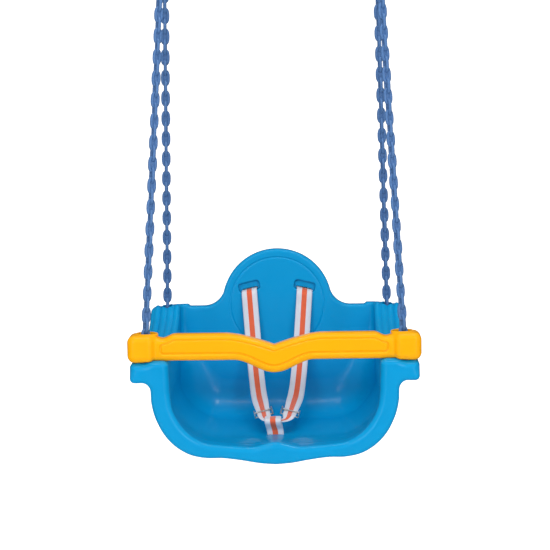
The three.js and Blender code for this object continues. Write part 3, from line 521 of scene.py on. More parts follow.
RAIL_TOP = smooth_line([(-140, RAIL_Z), (-88, RAIL_Z), (-40, 156.5), (10, 164), (50, 173), (80, 183.5),
                        (97, 193.5), (109, 200), (122, RIM_Z), (140, RIM_Z)], 12)


def backrest_points():
    """Rear rim and round backrest, right half."""
    fillet_z = RIM_Z + DISC_FILLET
    reach = DISC_RADIUS + DISC_FILLET
    fillet_x = math.sqrt(reach ** 2 - (fillet_z - DISC_Z) ** 2)
    turn = math.atan2(fillet_z - DISC_Z, fillet_x)
    points = [(0, RIM_Z - 40), (176, RIM_Z - 40), (176, RIM_Z)]
    for t in np.linspace(-math.pi / 2, -math.pi + turn, 24):
        points.append((fillet_x + DISC_FILLET * math.cos(t), fillet_z + DISC_FILLET * math.sin(t)))
    for t in np.linspace(turn, math.pi / 2, 48):
        points.append((DISC_RADIUS * math.cos(t), DISC_Z + DISC_RADIUS * math.sin(t)))
    return points


backrest_outline = Outline(mirrored(backrest_points()), *SEAT_TABLE)


def rib_ridge(x):
    """Height of the half-round ribs along the rails."""
    phase = (x - FIRST_RIB) / RIB_SPACING
    from_ridge = np.abs(phase - np.round(phase))
    ridge = 1 - (2 * from_ridge) ** 2
    first, last = FIRST_RIB - RIB_SPACING / 2, FIRST_RIB + 3.5 * RIB_SPACING
    return RIB_HEIGHT * ridge * step(x, first - 1, first) * (1 - step(x, last, last + 1))


SLOT_HALF_LENGTH = 17
SLOT_HALF_HEIGHT = 7.6
SLOT_DEPTH = 8
SLIT_HALF_LENGTH = 10.6
SLIT_HALF_HEIGHT = 2.2


def slot_field(x, y, z):
    """One strap slot: an obround recess with a slit at its foot."""
    dx, dz = x - SLOT_X, z - SLOT_Z
    u = dx * math.cos(SLOT_TILT) - dz * math.sin(SLOT_TILT)
    v = dx * math.sin(SLOT_TILT) + dz * math.cos(SLOT_TILT)
    recess = meet(np.abs(u) - SLOT_HALF_LENGTH, np.abs(v) - SLOT_HALF_HEIGHT, 5)
    slit = np.hypot(np.maximum(np.abs(u) - SLIT_HALF_LENGTH, 0), v + SLIT_DROP) - SLIT_HALF_HEIGHT
    return np.minimum(meet(recess, y - BACKREST_FACE - SLOT_DEPTH, 2), slit)


PIN_POCKET_HALF = 12.5
REAR_POCKET_HALF_HEIGHT = 8.5


def anchor_field(x, y, z):
    """Chain holes through an ear and a rear corner, and the pockets that hide their pins."""
    front_ceiling = RAIL_Z - ANCHOR_PLATE
    rear_ceiling = RIM_Z - ANCHOR_PLATE
    holes = []
    for pin, (top, along, _, _), ceiling in ((FRONT_PIN, FRONT_LINE, front_ceiling),
                                             (REAR_PIN, REAR_LINE, rear_ceiling)):
        hole = line_distance(x, y, z, top, along) - CHAIN_HOLE_RADIUS
        holes.append(np.maximum(hole, ceiling - 5 - z))
    front_pocket = np.maximum(np.hypot(x - FRONT_PIN[0], y - FRONT_PIN[1]) - PIN_POCKET_HALF,
                              z - front_ceiling)
    rear_plan = np.maximum(REAR_PIN[0] - PIN_POCKET_HALF - x, np.abs(y - REAR_PIN[1]) - PIN_POCKET_HALF)
    rear_height = np.abs(z - rear_ceiling + REAR_POCKET_HALF_HEIGHT) - REAR_POCKET_HALF_HEIGHT
    rear_pocket = np.maximum(rear_plan, rear_height)
    return np.minimum(np.minimum(holes[0], holes[1]), np.minimum(front_pocket, rear_pocket))


PAD_HALF_WIDTH = 55
PAD_HALF_DEPTH = 92.5
PAD_Y = -7.5
GROOVE_RADIUS = 75
BLOW_HOLE_RADIUS = 4
BLOW_HOLE_Z = 62


def seat_field(x, y, z):
    """The whole seat: outer wall, ribbed rails, tub, backrest, foot pad and every opening."""
    x = np.abs(x)
    top = np.interp(y, RAIL_TOP[:, 0], RAIL_TOP[:, 1])
    slope = 1 / np.hypot(1, np.interp(y, RAIL_TOP[:, 0], np.gradient(RAIL_TOP[:, 1], RAIL_TOP[:, 0])))
    wall = meet(wall_outline(x, z), y - SEAT_BACK, 40)
    wall = meet(wall, (z - top + 1) * slope, 7)

    ribs = rib_ridge(x) * step(y, -88, -70) * (1 - step(y, 116, 124)) * step(z, top - 20, top - 8)
    half_width = EAR_HALF_WIDTH - (EAR_HALF_WIDTH - RAIL_REAR_HALF_WIDTH) * step(y, -70, 50)
    plan = meet(x - half_width, y - SEAT_BACK + 2, 18)
    slab = np.maximum((z - top) * slope - ribs, (top - RAIL_THICKNESS - z) * slope)
    rail = np.maximum(meet(slab, plan, 7), TUB_HALF_WIDTH - 8 - x)
    body = meet(fuse(wall, rail, 13), SEAT_FRONT - y, 6 + 6 * step(z, 125, 146))

    share = step(y, -112, -70)
    tub = lip_outline(x, z) * (1 - share) + tub_outline(x, z) * share
    ledges = 2.2 * step(y, -137, -127) + 1.6 * step(y, -121, -113) + 1.8 * step(y, -102, -94)
    tub = tub - ledges * (1 - step(z, 70, 120))
    tub = meet(tub, y - BACKREST_FACE, 58 - 50 * step(z, 70, 175))
    body = carve(body, tub, 10 - 5 * step(y, -122, -95))

    middle = (SEAT_BACK + BACKREST_FACE) / 2
    backrest = meet(backrest_outline(x, z), np.abs(y - middle) - WALL / 2, 5)
    seat = np.minimum(body, backrest)
    pad = meet(meet(x - PAD_HALF_WIDTH, np.abs(y - PAD_Y) - PAD_HALF_DEPTH, 10), -z, 3)
    seat = np.minimum(seat, np.maximum(pad, z - 12))

    groove = np.hypot((np.hypot(x, z - DISC_Z) - GROOVE_RADIUS) * 0.7, y - BACKREST_FACE) - 1.0
    seat = carve(seat, groove, 0.6)
    seat = carve(seat, slot_field(x, y, z), 1.6)
    seat = carve(seat, anchor_field(x, y, z), 1.2)
    crotch = np.maximum(x - 15, np.abs(y - CROTCH_Y) - 2.8)
    pocket = np.maximum(np.maximum(x - 23, np.abs(y - CROTCH_Y) - 7), z - 10.8)
    seat = carve(seat, np.minimum(crotch, pocket), 1.0)
    blow_hole = np.maximum(np.hypot(x, z - BLOW_HOLE_Z) - BLOW_HOLE_RADIUS, SEAT_BACK - 8 - y)
    return carve(seat, blow_hole, 0.8)


SEAT_VOXEL = 1.3
SEAT_TRIANGLES = 170000
seat = moulded("seat_shell_skin", seat_field, (0, SEAT_FRONT - 5, -5),
               (EAR_HALF_WIDTH + 5, SEAT_BACK + 5, CROWN_Z + 5), SEAT_VOXEL, SEAT_TRIANGLES)
finish_piece(seat, seat_blue, "seat", "seat_plastic", "seat_shell")


# ---------------------------------------------------------------- lap bar

BAR_BOTTOM = RAIL_Z + 0.3
BLOCK_WIDTH = 40
BEAM_DEPTH = 30
BAR_HOLE_RADIUS = 13
BAR_HOLE_INSET = 2.8


NOTCH_DEPTH = 17.5
NOTCH_HALF_WIDTH = 70
END_DIP_X = 164
END_DIP_HALF_WIDTH = 18


def beam_top(x):
    """Height of the beam's top edge: a dip beside each block and a notch in the middle."""
    from_dip = np.minimum(1, np.abs(np.abs(x) - END_DIP_X) / END_DIP_HALF_WIDTH)
    notch = np.maximum(0, 1 - np.abs(x) / NOTCH_HALF_WIDTH)
    return BAR_TOP - 3 * (1 + np.cos(math.pi * from_dip)) - NOTCH_DEPTH * notch ** 1.5


def beam_bottom(x):
    from_middle = np.minimum(1, np.abs(x) / 60)
    return BAR_BOTTOM + 1.8 - 9.5 * (1 + np.cos(math.pi * from_middle))


def beam_points():
    x = np.linspace(0, BAR_HALF_WIDTH - BLOCK_WIDTH / 2, 90)
    return [*zip(x, beam_bottom(x)), *zip(x[::-1], beam_top(x[::-1]))]


beam_outline = Outline(mirrored(beam_points()), (-2, 125), (225, 205), 0.4)


def bar_field(x, y, z):
    x = np.abs(x)
    outline = beam_outline(x, z)
    face = np.abs(y - BAR_Y) - BEAM_DEPTH / 2
    beam = meet(outline, face, 9)
    above_middle = z - (beam_top(x) + beam_bottom(x)) / 2
    panel = meet(outline + 7.5 + 4 * step(above_middle, 5, -5), x - 166, 5)
    beam = carve(beam, np.hypot(panel, y - BAR_Y + BEAM_DEPTH / 2) - 1.5, 0.8)

    block_x = np.abs(x - BAR_HALF_WIDTH + BLOCK_WIDTH / 2) - BLOCK_WIDTH / 2
    block_z = np.abs(z - (BAR_TOP + BAR_BOTTOM) / 2) - (BAR_TOP - BAR_BOTTOM) / 2
    block = meet(meet(block_x, block_z, 11), np.abs(y - BAR_Y) - BAR_DEPTH / 2, 10)
    bar = fuse(beam, block, 3)

    top, along, _, _ = FRONT_LINE
    at_middle = top + along * ((BAR_TOP + BAR_BOTTOM) / 2 - top[2]) / along[2]
    at_top = top + along * (BAR_TOP - top[2]) / along[2]
    hole_x = at_middle[0] - BAR_HOLE_INSET
    lean = np.array([0, along[1], along[2]]) / math.hypot(along[1], along[2])
    rim = np.hypot(np.hypot(x - hole_x, y - at_top[1]) - BAR_HOLE_RADIUS - 2, z - BAR_TOP + 1) - 1.8
    bar = fuse(bar, rim, 2.5)
    hole = line_distance(x, y, z, (hole_x, at_middle[1], at_middle[2]), lean) - BAR_HOLE_RADIUS
    return carve(bar, hole, 1.5)


bar = moulded("lap_bar_skin", bar_field, (0, bar_low[1] - 4, bar_low[2] - 4),
              (BAR_HALF_WIDTH + 4, bar_high[1] + 4, BAR_TOP + 5), 1.0, 90000)
finish_piece(bar, bar_yellow, "bar", "bar_plastic", "lap_bar")


# ---------------------------------------------------------------- chains

LINK_POINTS = 26
LINK_FULLNESS = 0.8
LINK_SECTION = 10
FILM_POINTS = 14
FILM_ROWS = 5
FILM_HALF_THICKNESS = 1.3
FILM_GAP = 0.6


def link_path(pitch):
    """Centre line of one link in its own plane, long axis along v: an oval with full shoulders."""
    turns = np.linspace(0, 2 * math.pi, LINK_POINTS, endpoint=False)
    oval = np.stack([np.cos(turns), np.sin(turns)], axis=1)
    return np.sign(oval) * np.abs(oval) ** LINK_FULLNESS * (LINK_ARC, pitch / 2 + CHAIN_WIRE)


def coating_film(centre, u, v, w, pitch):
    """The coating that has set across a link's opening: a flat lens."""
    rows = np.linspace(-math.pi / 2, math.pi / 2, FILM_ROWS + 2)[1:-1]
    ring = circle(1, FILM_POINTS)
    lens = ring[:, :1] * u * (LINK_ARC - FILM_GAP) + ring[:, 1:] * w * FILM_HALF_THICKNESS
    points = [centre - v * (pitch / 2)]
    for row in rows:
        points += list(centre + v * (pitch / 2 * math.sin(row)) + math.cos(row) * lens)
    points.append(centre + v * (pitch / 2))
    last = len(points) - 1
    faces = []
    for k in range(FILM_POINTS):
        after = (k + 1) % FILM_POINTS
        faces.append((0, 1 + after, 1 + k))
        for i in range(FILM_ROWS - 1):
            below, above = 1 + FILM_POINTS * i, 1 + FILM_POINTS * (i + 1)
            faces.append((below + k, below + after, above + after, above + k))
        faces.append((last, last - FILM_POINTS + k, last - FILM_POINTS + after))
    return np.array(points), faces


# Turn of each chain's links about its own line, in degrees; it eases off over the end links.
CHAIN_TWIST = {"front_left": 29, "front_right": 24, "rear_left": 3, "rear_right": 10}
TWIST_EASE_LINKS = 4
LINK_SWAY = math.radians(5)
SWAY_PER_LINK = 2.3


def chain_mesh(side, line, twist):
    top, along, places, pitch = line
    mirror = np.array([side, 1, 1])
    top, along = top * mirror, along * mirror
    across = np.array([0, -along[2], along[1]])
    across /= np.linalg.norm(across)
    sideways = np.cross(along, across)
    parts = []
    for i, place in enumerate(places):
        from_end = min(i, len(places) - 1 - i)
        turn = math.radians(twist) * min(1, from_end / TWIST_EASE_LINKS)
        turn += LINK_SWAY * math.sin(SWAY_PER_LINK * i)
        if i % 2:
            turn = -turn
        u, w = (across, sideways) if i % 2 else (sideways, across)
        u, w = u * math.cos(turn) + w * math.sin(turn), w * math.cos(turn) - u * math.sin(turn)
        path = link_path(pitch)
        centre = top + along * place
        points = centre + path[:, :1] * u + path[:, 1:] * along
        parts.append(swept(points, circle(CHAIN_WIRE, LINK_SECTION), w, closed=True))
        parts.append(coating_film(centre, u, along, w, pitch))
    return merged(parts)


for name, side in SIDES.items():
    for place, line in (("front", FRONT_LINE), ("rear", REAR_LINE)):
        node = f"chain_{place}_{name}"
        twist = CHAIN_TWIST[f"{place}_{name}"]
        piece = new_object(node + "_links", *chain_mesh(side, line, twist))
        outward(piece)
        finish_piece(piece, chain_blue, "seat", "chain_coating", node)


# ---------------------------------------------------------------- rings, pins and keepers

ROD_SIDES = 28
ROD_CHAMFER = 0.6


def turned(profile, start, end):
    """A round bar between two points from a profile of (share of length, radius)."""
    start, end = np.asarray(start, float), np.asarray(end, float)
    along = end - start
    hint = np.array([0, 0, 1.0]) if abs(along[2]) < 0.9 * np.linalg.norm(along) else np.array([1.0, 0, 0])
    unit = along / np.linalg.norm(along)
    across = hint - unit * hint.dot(unit)
    across /= np.linalg.norm(across)
    normal = np.cross(unit, across)
    ring = circle(1, ROD_SIDES)
    count = ROD_SIDES
    vertices = [start + along * share + radius * (ring[:, :1] * across + ring[:, 1:] * normal)
                for share, radius in profile]
    faces = []
    for i in range(len(profile) - 1):
        for k in range(count):
            a, b = i * count + k, i * count + (k + 1) % count
            faces.append((a, b, b + count, a + count))
    faces.append(tuple(reversed(range(count))))
    faces.append(tuple(range((len(profile) - 1) * count, len(profile) * count)))
    return np.vstack(vertices), faces


def rod_profile(radius, length):
    """Profile of a plain rod with a rounded chamfer at each end."""
    share = ROD_CHAMFER / length
    tip, shoulder = radius - ROD_CHAMFER, radius - ROD_CHAMFER * 0.4
    return [(0, tip), (share * 0.3, shoulder), (share, radius),
            (1 - share, radius), (1 - share * 0.3, shoulder), (1, tip)]


def rod_piece(name, start, end, radius, body, *nodes):
    length = np.linalg.norm(np.subtract(end, start))
    piece = new_object(name, *turned(rod_profile(radius, length), start, end))
    outward(piece)
    finish_piece(piece, steel, body, "steel", *nodes)


KEEPER_RADIUS = 3
KEEPER_HALF = 21

for name, side in SIDES.items():
    turns = np.linspace(0, 2 * math.pi, 72, endpoint=False)
    centre = RING_CENTRE * np.array([side, 1, 1])
    path = centre + RING_RADIUS * np.stack([0 * turns, np.cos(turns), np.sin(turns)], axis=1)
    ring = new_object(f"ring_{name}_wire", *swept(path, circle(RING_WIRE, 16), (1, 0, 0), closed=True))
    outward(ring)
    finish_piece(ring, steel, "seat", "steel", f"ring_{name}")
    for place in ("front", "rear"):
        node = f"chain_pin_{place}_{name}"
        low, high = box_mm(node)
        axis = int(np.argmax(high - low))
        start, end = (low + high) / 2, (low + high) / 2
        start[axis], end[axis] = low[axis], high[axis]
        rod_piece(node + "_bar", start, end, (high - low)[(axis + 1) % 3] / 2, "seat", node)
    centre = centre_mm(f"strap_keeper_{name}")
    reach = KEEPER_HALF * np.array([math.cos(SLOT_TILT), 0, -side * math.sin(SLOT_TILT)])
    rod_piece(f"strap_keeper_{name}_rod", centre - reach, centre + reach, KEEPER_RADIUS, "seat",
              f"strap_keeper_{name}")

centre = centre_mm("crotch_keeper")
rod_piece("crotch_keeper_rod", centre - (KEEPER_HALF, 0, 0), centre + (KEEPER_HALF, 0, 0),
          KEEPER_RADIUS, "seat", "crotch_keeper")


# ---------------------------------------------------------------- snap hooks

HOOK_WIRE = 3.5
HOOK_HALF = 11
HOOK_STRAIGHT = 22
GATE_EDGE = 3
EYE_RISE = 9
EYE_RADIUS = 12
EYE_HOLE = 6
EYE_THICKNESS = 6
LUG_Y = -1.7
LUG_THICKNESS = 1.8
GATE_PIN_RADIUS = 1.2
TOP_BEND = HOOK_HALF + HOOK_STRAIGHT
NOSE_Z = HOOK_HALF + 1
# The wire's path doubles back from here up to the start of the bottom bend. The nose's round end
# therefore stands HOOK_WIRE above that start, and reaches about 2 mm into the closed gate.
PATH_START_Z = NOSE_Z - 3.4
BEND_POINTS = 16
hook_low, _ = box_mm("snap_hook_right")
HOOK_BASE = hook_low[2] + HOOK_WIRE


def wire_distance(x, y, z, points):
    """Distance to a polyline."""
    nearest = np.inf
    for a, b in zip(points, points[1:]):
        d = b - a
        t = np.clip(((x - a[0]) * d[0] + (y - a[1]) * d[1] + (z - a[2]) * d[2]) / (d @ d), 0, 1)
        nearest = np.minimum(nearest, (x - a[0] - t * d[0]) ** 2 + (y - a[1] - t * d[1]) ** 2
                             + (z - a[2] - t * d[2]) ** 2)
    return np.sqrt(nearest)


def bend(centre_z, start, end):
    """Points round one end of the hook."""
    turns = np.linspace(start, end, BEND_POINTS)
    return [np.array([HOOK_HALF * math.cos(t), 0, centre_z + HOOK_HALF * math.sin(t)]) for t in turns]


hook_path = [np.array([HOOK_HALF, 0, PATH_START_Z]), *bend(HOOK_HALF, 0, -math.pi),
             *bend(TOP_BEND + GATE_EDGE, math.pi, 0)]


def hook_field(x, y, z):
    wire = wire_distance(x, y, z, hook_path) - HOOK_WIRE
    eye_z = TOP_BEND + HOOK_HALF + EYE_RISE
    radial = np.hypot(x, z - eye_z)
    eye = meet(radial - EYE_RADIUS, np.abs(y) - EYE_THICKNESS / 2, 1.2)
    body = fuse(wire, eye, 2.5)
    lug_side = np.abs(x - HOOK_HALF) - 2.6
    lug = np.maximum(meet(lug_side, TOP_BEND - 2.6 - z, 2.4), z - TOP_BEND - 5)
    body = np.minimum(body, meet(lug, np.abs(y - LUG_Y) - LUG_THICKNESS / 2, 0.3))
    pin = np.hypot(x - HOOK_HALF, z - TOP_BEND) - GATE_PIN_RADIUS - 0.3
    body = carve(body, radial - EYE_HOLE, 1)
    return carve(body, pin, 0.2)


def gate_field(x, y, z):
    side = np.abs(x - HOOK_HALF) - 2.9
    pivot = np.hypot(x - HOOK_HALF, z - TOP_BEND) - 2.9
    blade = np.minimum(np.maximum(side, z - TOP_BEND), pivot)
    blade = meet(blade, NOSE_Z + 0.5 - z, 0.8)
    blade = meet(blade, np.abs(y) - 4.1, 1.2)
    fork = np.maximum(np.abs(y) - 2.9, TOP_BEND - 5.5 - z)
    pin = np.hypot(x - HOOK_HALF, z - TOP_BEND) - GATE_PIN_RADIUS - 0.3
    return carve(carve(blade, fork, 0.4), pin, 0.2)


def in_place(field, side):
    return lambda x, y, z: field(side * x - RING_CENTRE[0], y, z - HOOK_BASE)


HOOK_VOXEL = 0.55
SPRING_TURNS = 2.5
SPRING_RADIUS = 2
SPRING_WIRE = 0.35

for name, side in SIDES.items():
    for node, field, body, triangles in (("snap_hook", hook_field, "hangers", 30000),
                                         ("hook_gate", gate_field, f"gate_{name}", 12000)):
        low, high = box_mm(f"{node}_{name}")
        piece = moulded(f"{node}_{name}_forging", in_place(field, side), low - 2, high + 2, HOOK_VOXEL,
                        triangles, symmetric=False)
        finish_piece(piece, steel, body, "steel", f"{node}_{name}")
    low, high = box_mm(f"gate_pin_{name}")
    centre = (low + high) / 2
    rod_piece(f"gate_pin_{name}_rivet", (centre[0], low[1], centre[2]), (centre[0], high[1], centre[2]),
              GATE_PIN_RADIUS, "hangers", f"gate_pin_{name}")
    low, high = box_mm(f"gate_spring_{name}")
    turns = np.linspace(0, 2 * math.pi * SPRING_TURNS, 80)
    share = turns / turns[-1]
    path = np.stack([centre[0] + side * SPRING_RADIUS * np.cos(turns),
                     low[1] + SPRING_WIRE + share * (high[1] - low[1] - 2 * SPRING_WIRE),
                     centre[2] + SPRING_RADIUS * np.sin(turns)], axis=1)
    spring = new_object(f"gate_spring_{name}_coil", *swept(path, circle(SPRING_WIRE, 10), (0, 1, 0)))
    outward(spring)
    finish_piece(spring, steel, "hangers", "steel", f"gate_spring_{name}")


# ---------------------------------------------------------------- harness

WEB_WIDTH = 25
WEB_THICKNESS = 1.6
TAPE_GAP = 2.5
TAPE_POINTS = 13
STRAP_FOOT = np.array([18.5, -37, 51.5])
STRAP_KNEE = np.array([27.5, 30, 66])
STRAP_SLIT_Z = SLOT_Z - SLIT_DROP
KEEPER_Y = centre_mm("strap_keeper_right")[1]
LOOP_RADIUS = KEEPER_RADIUS + 0.3 + WEB_THICKNESS / 2


def bezier(points, count):
    """Points along a Bezier curve of any degree, without its last point."""
    t = np.arange(count)[:, None] / count
    p = [np.array(q, float)[None] for q in points]
    while len(p) > 1:
        p = [a * (1 - t) + b * t for a, b in zip(p, p[1:])]
    return p[0]


def spaced(path, gap):
    """The same path with its points evenly spaced."""
    length = np.concatenate([[0], np.cumsum(np.linalg.norm(np.diff(path, axis=0), axis=1))])
    marks = np.linspace(0, length[-1], max(3, round(length[-1] / gap)))
    return np.stack([np.interp(marks, length, path[:, i]) for i in range(3)], axis=1)


def tape(path, hint, narrow=1.0):
    """Webbing along a path: a thin tape with round selvedges. Returns vertices, faces and uv per vertex.

    hint is the direction across the tape, or a function that gives it for each point of the path.
    The tape starts at the share `narrow` of its width and widens to all of it.
    """
    path = spaced(np.asarray(path, float), TAPE_GAP)
    half, thickness = WEB_WIDTH / 2, WEB_THICKNESS / 2
    shares = np.linspace(-1, 1, TAPE_POINTS)
    upper = [(half * s, thickness * min(1, 1.6 * math.sqrt(1 - abs(s) ** 8) + 0.25)) for s in shares]
    section = np.array(upper + [(u, -v) for u, v in reversed(upper)])
    vertices, faces = swept(path, section, hint(path) if callable(hint) else hint)
    count = len(section)
    length = np.arange(len(path)) * TAPE_GAP
    width = narrow + (1 - narrow) * (0.6 * step(length, 8, 30) + 0.4 * step(length, 30, 100))
    middle = np.repeat(path, count, axis=0)
    vertices = middle + (vertices - middle) * np.repeat(width, count)[:, None]
    along = np.repeat(length / WEB_WIDTH, count)
    across = np.tile(section[:, 0] / WEB_WIDTH + 0.5, len(path))
    return vertices, faces, np.stack([across, along], axis=1)


def tape_piece(name, tapes, *nodes):
    """One piece of webbing from several tapes, with its weave coordinates."""
    vertices, faces = merged([(v, f) for v, f, _ in tapes])
    uv = np.vstack([u for _, _, u in tapes])
    piece = new_object(name, vertices, faces)
    outward(piece)
    layer = piece.data.uv_layers.new(name="UVMap")
    corner = np.empty(len(piece.data.loops), int)
    piece.data.loops.foreach_get("vertex_index", corner)
    layer.data.foreach_set("uv", uv[corner].ravel())
    finish_piece(piece, webbing, "seat", "webbing", *nodes)


def shoulder_tape(side):
    """From inside the crotch loop, through the buckle and up the backrest, round the keeper behind it."""
    mirror = np.array([side, 1, 1])
    gather_y = CROTCH_Y + 3
    gather = smooth_line([(-2, gather_y, 47), (8, gather_y, 47), (15, gather_y + 3, 48.5), tuple(STRAP_FOOT),
                          tuple(STRAP_FOOT * 0.9 + STRAP_KNEE * 0.1)], 6)
    knee_up = [STRAP_KNEE, (33.7, 76, 76), (39.5, 105, 160), (43.6, 111, 215)]
    over_lip = [(43.6, 111, 215), (44.4, 112.2, STRAP_SLIT_Z), (SLOT_X, 121, STRAP_SLIT_Z)]
    path = [*gather[:-1], *bezier([STRAP_FOOT * 0.9 + STRAP_KNEE * 0.1, STRAP_KNEE], 12),
            *bezier(knee_up, 40), *bezier(over_lip, 12), (SLOT_X, 121, STRAP_SLIT_Z)]
    start = KEEPER_Y - LOOP_RADIUS
    path.append((SLOT_X, start - 1, STRAP_SLIT_Z))
    for turn in np.linspace(math.pi, -0.8 * math.pi, 22):
        y = KEEPER_Y + LOOP_RADIUS * math.cos(turn)
        path.append((SLOT_X, y, STRAP_SLIT_Z + LOOP_RADIUS * math.sin(turn)))
    path = np.array([tuple(p) for p in path]) * mirror
    on_backrest = np.array([math.cos(SLOT_TILT), 0, -side * math.sin(SLOT_TILT)])

    def across(points):
        flat = np.cross(np.gradient(points, axis=0), (0, -0.2, 1))
        flat /= np.linalg.norm(flat, axis=1)[:, None]
        risen = step(points[:, 1], -38, -10)[:, None]
        return flat * (1 - risen) + on_backrest * risen

    return tape(path, across, narrow=0.5)


tape_piece("harness_webbing", [shoulder_tape(-1), shoulder_tape(1)], "harness_strap")


def crotch_tape():
    keeper_z = centre_mm("crotch_keeper")[2]
    gap = 1.1
    around = [(0, CROTCH_Y + LOOP_RADIUS * math.cos(t), keeper_z + LOOP_RADIUS * math.sin(t))
              for t in np.linspace(0.6 * math.pi, 2.4 * math.pi, 20)]
    front = [(0, CROTCH_Y - gap, 14), (0, CROTCH_Y - gap, 30), (0, CROTCH_Y - 3, 36), (0, CROTCH_Y - 12, 46),
             (0, CROTCH_Y - 12.4, 51.2), (0, CROTCH_Y, 52.4)]
    rear = [(x, 2 * CROTCH_Y - y, z) for x, y, z in reversed(front[:-1])]
    loop = smooth_line(front + rear, 6)
    loop[:, 0] -= 1.5 + 4.0 * step(loop[:, 2], 24, 52)
    return [tape(loop, (1, 0, 0)), tape(around, (1, 0, 0))]


tape_piece("crotch_webbing", crotch_tape(), "crotch_strap")


# ---------------------------------------------------------------- three-bar buckles

GLIDE_SHARE = 0.24
GLIDE_HALF_WIDTH = 14.8
GLIDE_HALF_LENGTH = 8
GLIDE_BAR = 1.2


def glide_axes(side):
    mirror = np.array([side, 1, 1])
    foot, knee = STRAP_FOOT * mirror, STRAP_KNEE * mirror
    along = (knee - foot) / np.linalg.norm(knee - foot)
    hint = np.array([math.cos(SLOT_TILT), 0, -side * math.sin(SLOT_TILT)])
    across = hint - along * hint.dot(along)
    across /= np.linalg.norm(across)
    return foot + (knee - foot) * GLIDE_SHARE, across, along, np.cross(across, along)


def glide_field(side):
    centre, across, along, normal = glide_axes(side)
    offset = WEB_THICKNESS / 2 + 0.3 + GLIDE_BAR

    def field(x, y, z):
        dx, dy, dz = x - centre[0], y - centre[1], z - centre[2]
        u = dx * across[0] + dy * across[1] + dz * across[2]
        v = dx * along[0] + dy * along[1] + dz * along[2]
        w = dx * normal[0] + dy * normal[1] + dz * normal[2]
        reach = np.maximum(np.abs(u) - GLIDE_HALF_WIDTH + 1.4, 0)
        end_bars = np.sqrt(reach ** 2 + (np.abs(v) - GLIDE_HALF_LENGTH) ** 2 + (w + offset) ** 2)
        middle_bar = np.sqrt(reach ** 2 + v ** 2 + (w - offset) ** 2)
        bars = np.minimum(end_bars, middle_bar) - GLIDE_BAR
        rail = meet(np.abs(np.abs(u) - GLIDE_HALF_WIDTH + 1) - 1.2, np.abs(v) - GLIDE_HALF_LENGTH - 1.1, 1)
        rail = meet(rail, np.abs(w) - offset - 1, 1)
        return fuse(bars, rail, 0.8)

    return field


for name, side in SIDES.items():
    low, high = box_mm(f"tri_glide_{name}")
    piece = moulded(f"tri_glide_{name}_buckle", glide_field(side), low - 2, high + 2,
                    0.4, 24000, symmetric=False)
    finish_piece(piece, steel, f"glide_{name}", "steel", f"tri_glide_{name}")


# ---------------------------------------------------------------- studio

FLOOR_Z = -0.42
FLOOR_FRONT = -6.0
WALL_Y = 2.8
WALL_TOP = 6.0
BACKDROP_HALF_WIDTH = 8.0
SWEEP_RADIUS = 1.2

WORLD_STRENGTH = 0.34
WORLD_REFLECTED = 0.36
WORLD_SEEN = 1.1

# Name, place and target in metres, size in metres, power in watts, and whether it shows in reflections.
SOFT_BOXES = (
    ("strip_left", (-0.95, -2.3, 0.85), (0, 0, 0.25), (0.28, 2.2), 11, True),
    ("strip_right", (1.05, -2.3, 0.85), (0, 0, 0.25), (0.28, 2.2), 13, True),
    ("key", (-0.1, -2.5, 1.3), (0, 0, 0.15), (1.3, 0.4), 23, False),
    ("overhead", (0.0, -0.6, 2.4), (0, 0, 0.2), (1.2, 0.8), 5, False),
    ("rear", (0.3, 1.4, 1.7), (0, 0, 0.3), (1.2, 0.7), 8, False),
    ("top", (0.05, -0.7, 2.2), (0, 0, 0.2), (1.8, 0.1), 6, True),
    ("overhead_left", (-0.55, -0.35, 2.2), (0, 0, 0.1), (0.2, 0.16), 2, True),
    ("overhead_right", (0.6, -0.35, 2.2), (0, 0, 0.1), (0.35, 0.16), 4, True),
)

CAMERA_PLACE = (0.0575, -2.54, 0.5605)
CAMERA_YAW = math.radians(1.297)
CAMERA_PITCH = math.radians(6.651)
CAMERA_ROLL = math.radians(-0.9)
CAMERA_LENS = 109.39
SENSOR_WIDTH = 36


def backdrop():
    """White floor that sweeps up into a wall, seen only from its front side."""
    sweep_start = WALL_Y - SWEEP_RADIUS
    outline = [(FLOOR_FRONT, FLOOR_Z), (sweep_start, FLOOR_Z)]
    for turn in np.linspace(0, math.pi / 2, 16):
        outline.append((sweep_start + SWEEP_RADIUS * math.sin(turn),
                        FLOOR_Z + SWEEP_RADIUS - SWEEP_RADIUS * math.cos(turn)))
    outline.append((WALL_Y, WALL_TOP))
    vertices = [(x / MM, y / MM, z / MM) for y, z in outline
                for x in (-BACKDROP_HALF_WIDTH, BACKDROP_HALF_WIDTH)]
    faces = [(2 * i, 2 * i + 1, 2 * i + 3, 2 * i + 2) for i in range(len(outline) - 1)]
    sheet = new_object("backdrop", vertices, faces)
    n = Nodes("backdrop_white")
    rays = n.add("ShaderNodeLightPath")
    white, grey = (0.9, 0.9, 0.9, 1.0), (0.12, 0.12, 0.12, 1.0)
    n.set(Base_Color=n.mix(rays.outputs["Is Glossy Ray"], white, grey))
    n.set(Roughness=0.95, Specular_IOR_Level=0.0)
    behind = n.add("ShaderNodeNewGeometry").outputs["Backfacing"]
    n.set(Alpha=n.math("SUBTRACT", 1.0, behind))
    glow = n.math("MULTIPLY", rays.outputs["Is Camera Ray"], 0.75)
    n.set(Emission_Color=(1.0, 1.0, 1.0, 1.0), Emission_Strength=glow)
    sheet.data.materials.append(n.material)


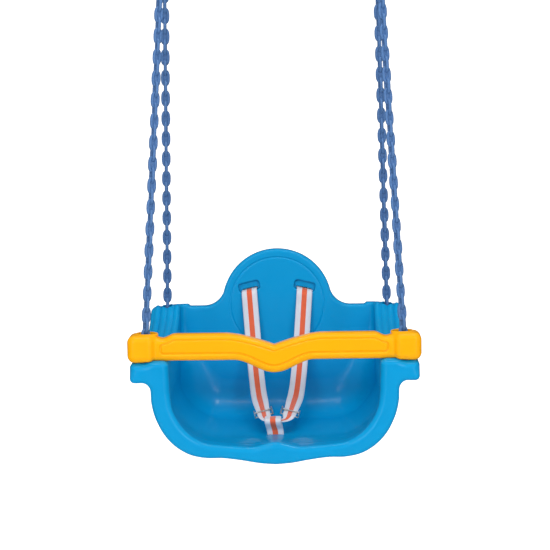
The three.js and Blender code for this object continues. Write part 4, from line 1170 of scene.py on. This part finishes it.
def surroundings():
    """Pale light from all sides, stronger in reflections and where the camera sees it."""
    world = bpy.data.worlds.new("studio")
    world.use_nodes = True
    tree = world.node_tree
    rays = tree.nodes.new("ShaderNodeLightPath")
    reflected = tree.nodes.new("ShaderNodeMix")
    reflected.inputs["A"].default_value = WORLD_STRENGTH
    reflected.inputs["B"].default_value = WORLD_REFLECTED
    tree.links.new(rays.outputs["Is Glossy Ray"], reflected.inputs["Factor"])
    seen = tree.nodes.new("ShaderNodeMix")
    seen.inputs["B"].default_value = WORLD_SEEN
    tree.links.new(rays.outputs["Is Camera Ray"], seen.inputs["Factor"])
    tree.links.new(reflected.outputs["Result"], seen.inputs["A"])
    background = tree.nodes["Background"]
    background.inputs["Color"].default_value = (0.97, 0.985, 1.0, 1.0)
    tree.links.new(seen.outputs["Result"], background.inputs["Strength"])
    bpy.context.scene.world = world


def soft_box(name, place, target, size, power, reflected):
    light = bpy.data.lights.new(name, "AREA")
    light.shape = "RECTANGLE"
    light.size, light.size_y = size
    light.energy = power
    lamp = bpy.data.objects.new(name, light)
    lamp.location = place
    lamp.rotation_euler = (Vector(target) - Vector(place)).to_track_quat("-Z", "Y").to_euler()
    lamp.visible_glossy = reflected
    bpy.context.scene.collection.objects.link(lamp)


def add_camera():
    right = Vector((math.cos(CAMERA_YAW), math.sin(CAMERA_YAW), 0))
    level = Vector((-math.sin(CAMERA_YAW), math.cos(CAMERA_YAW), 0))
    forward = level * math.cos(CAMERA_PITCH) + Vector((0, 0, -1)) * math.sin(CAMERA_PITCH)
    up = right.cross(forward)
    right, up = (right * math.cos(CAMERA_ROLL) + up * math.sin(CAMERA_ROLL),
                 up * math.cos(CAMERA_ROLL) - right * math.sin(CAMERA_ROLL))
    data = bpy.data.cameras.new("camera")
    data.sensor_width = SENSOR_WIDTH
    data.lens = CAMERA_LENS
    camera = bpy.data.objects.new("camera", data)
    basis = Matrix((right, up, -forward)).transposed()
    camera.matrix_world = Matrix.Translation(CAMERA_PLACE) @ basis.to_4x4()
    bpy.context.scene.collection.objects.link(camera)
    bpy.context.scene.camera = camera


backdrop()
surroundings()
for settings in SOFT_BOXES:
    soft_box(*settings)
add_camera()
bpy.context.scene.view_settings.view_transform = "Standard"
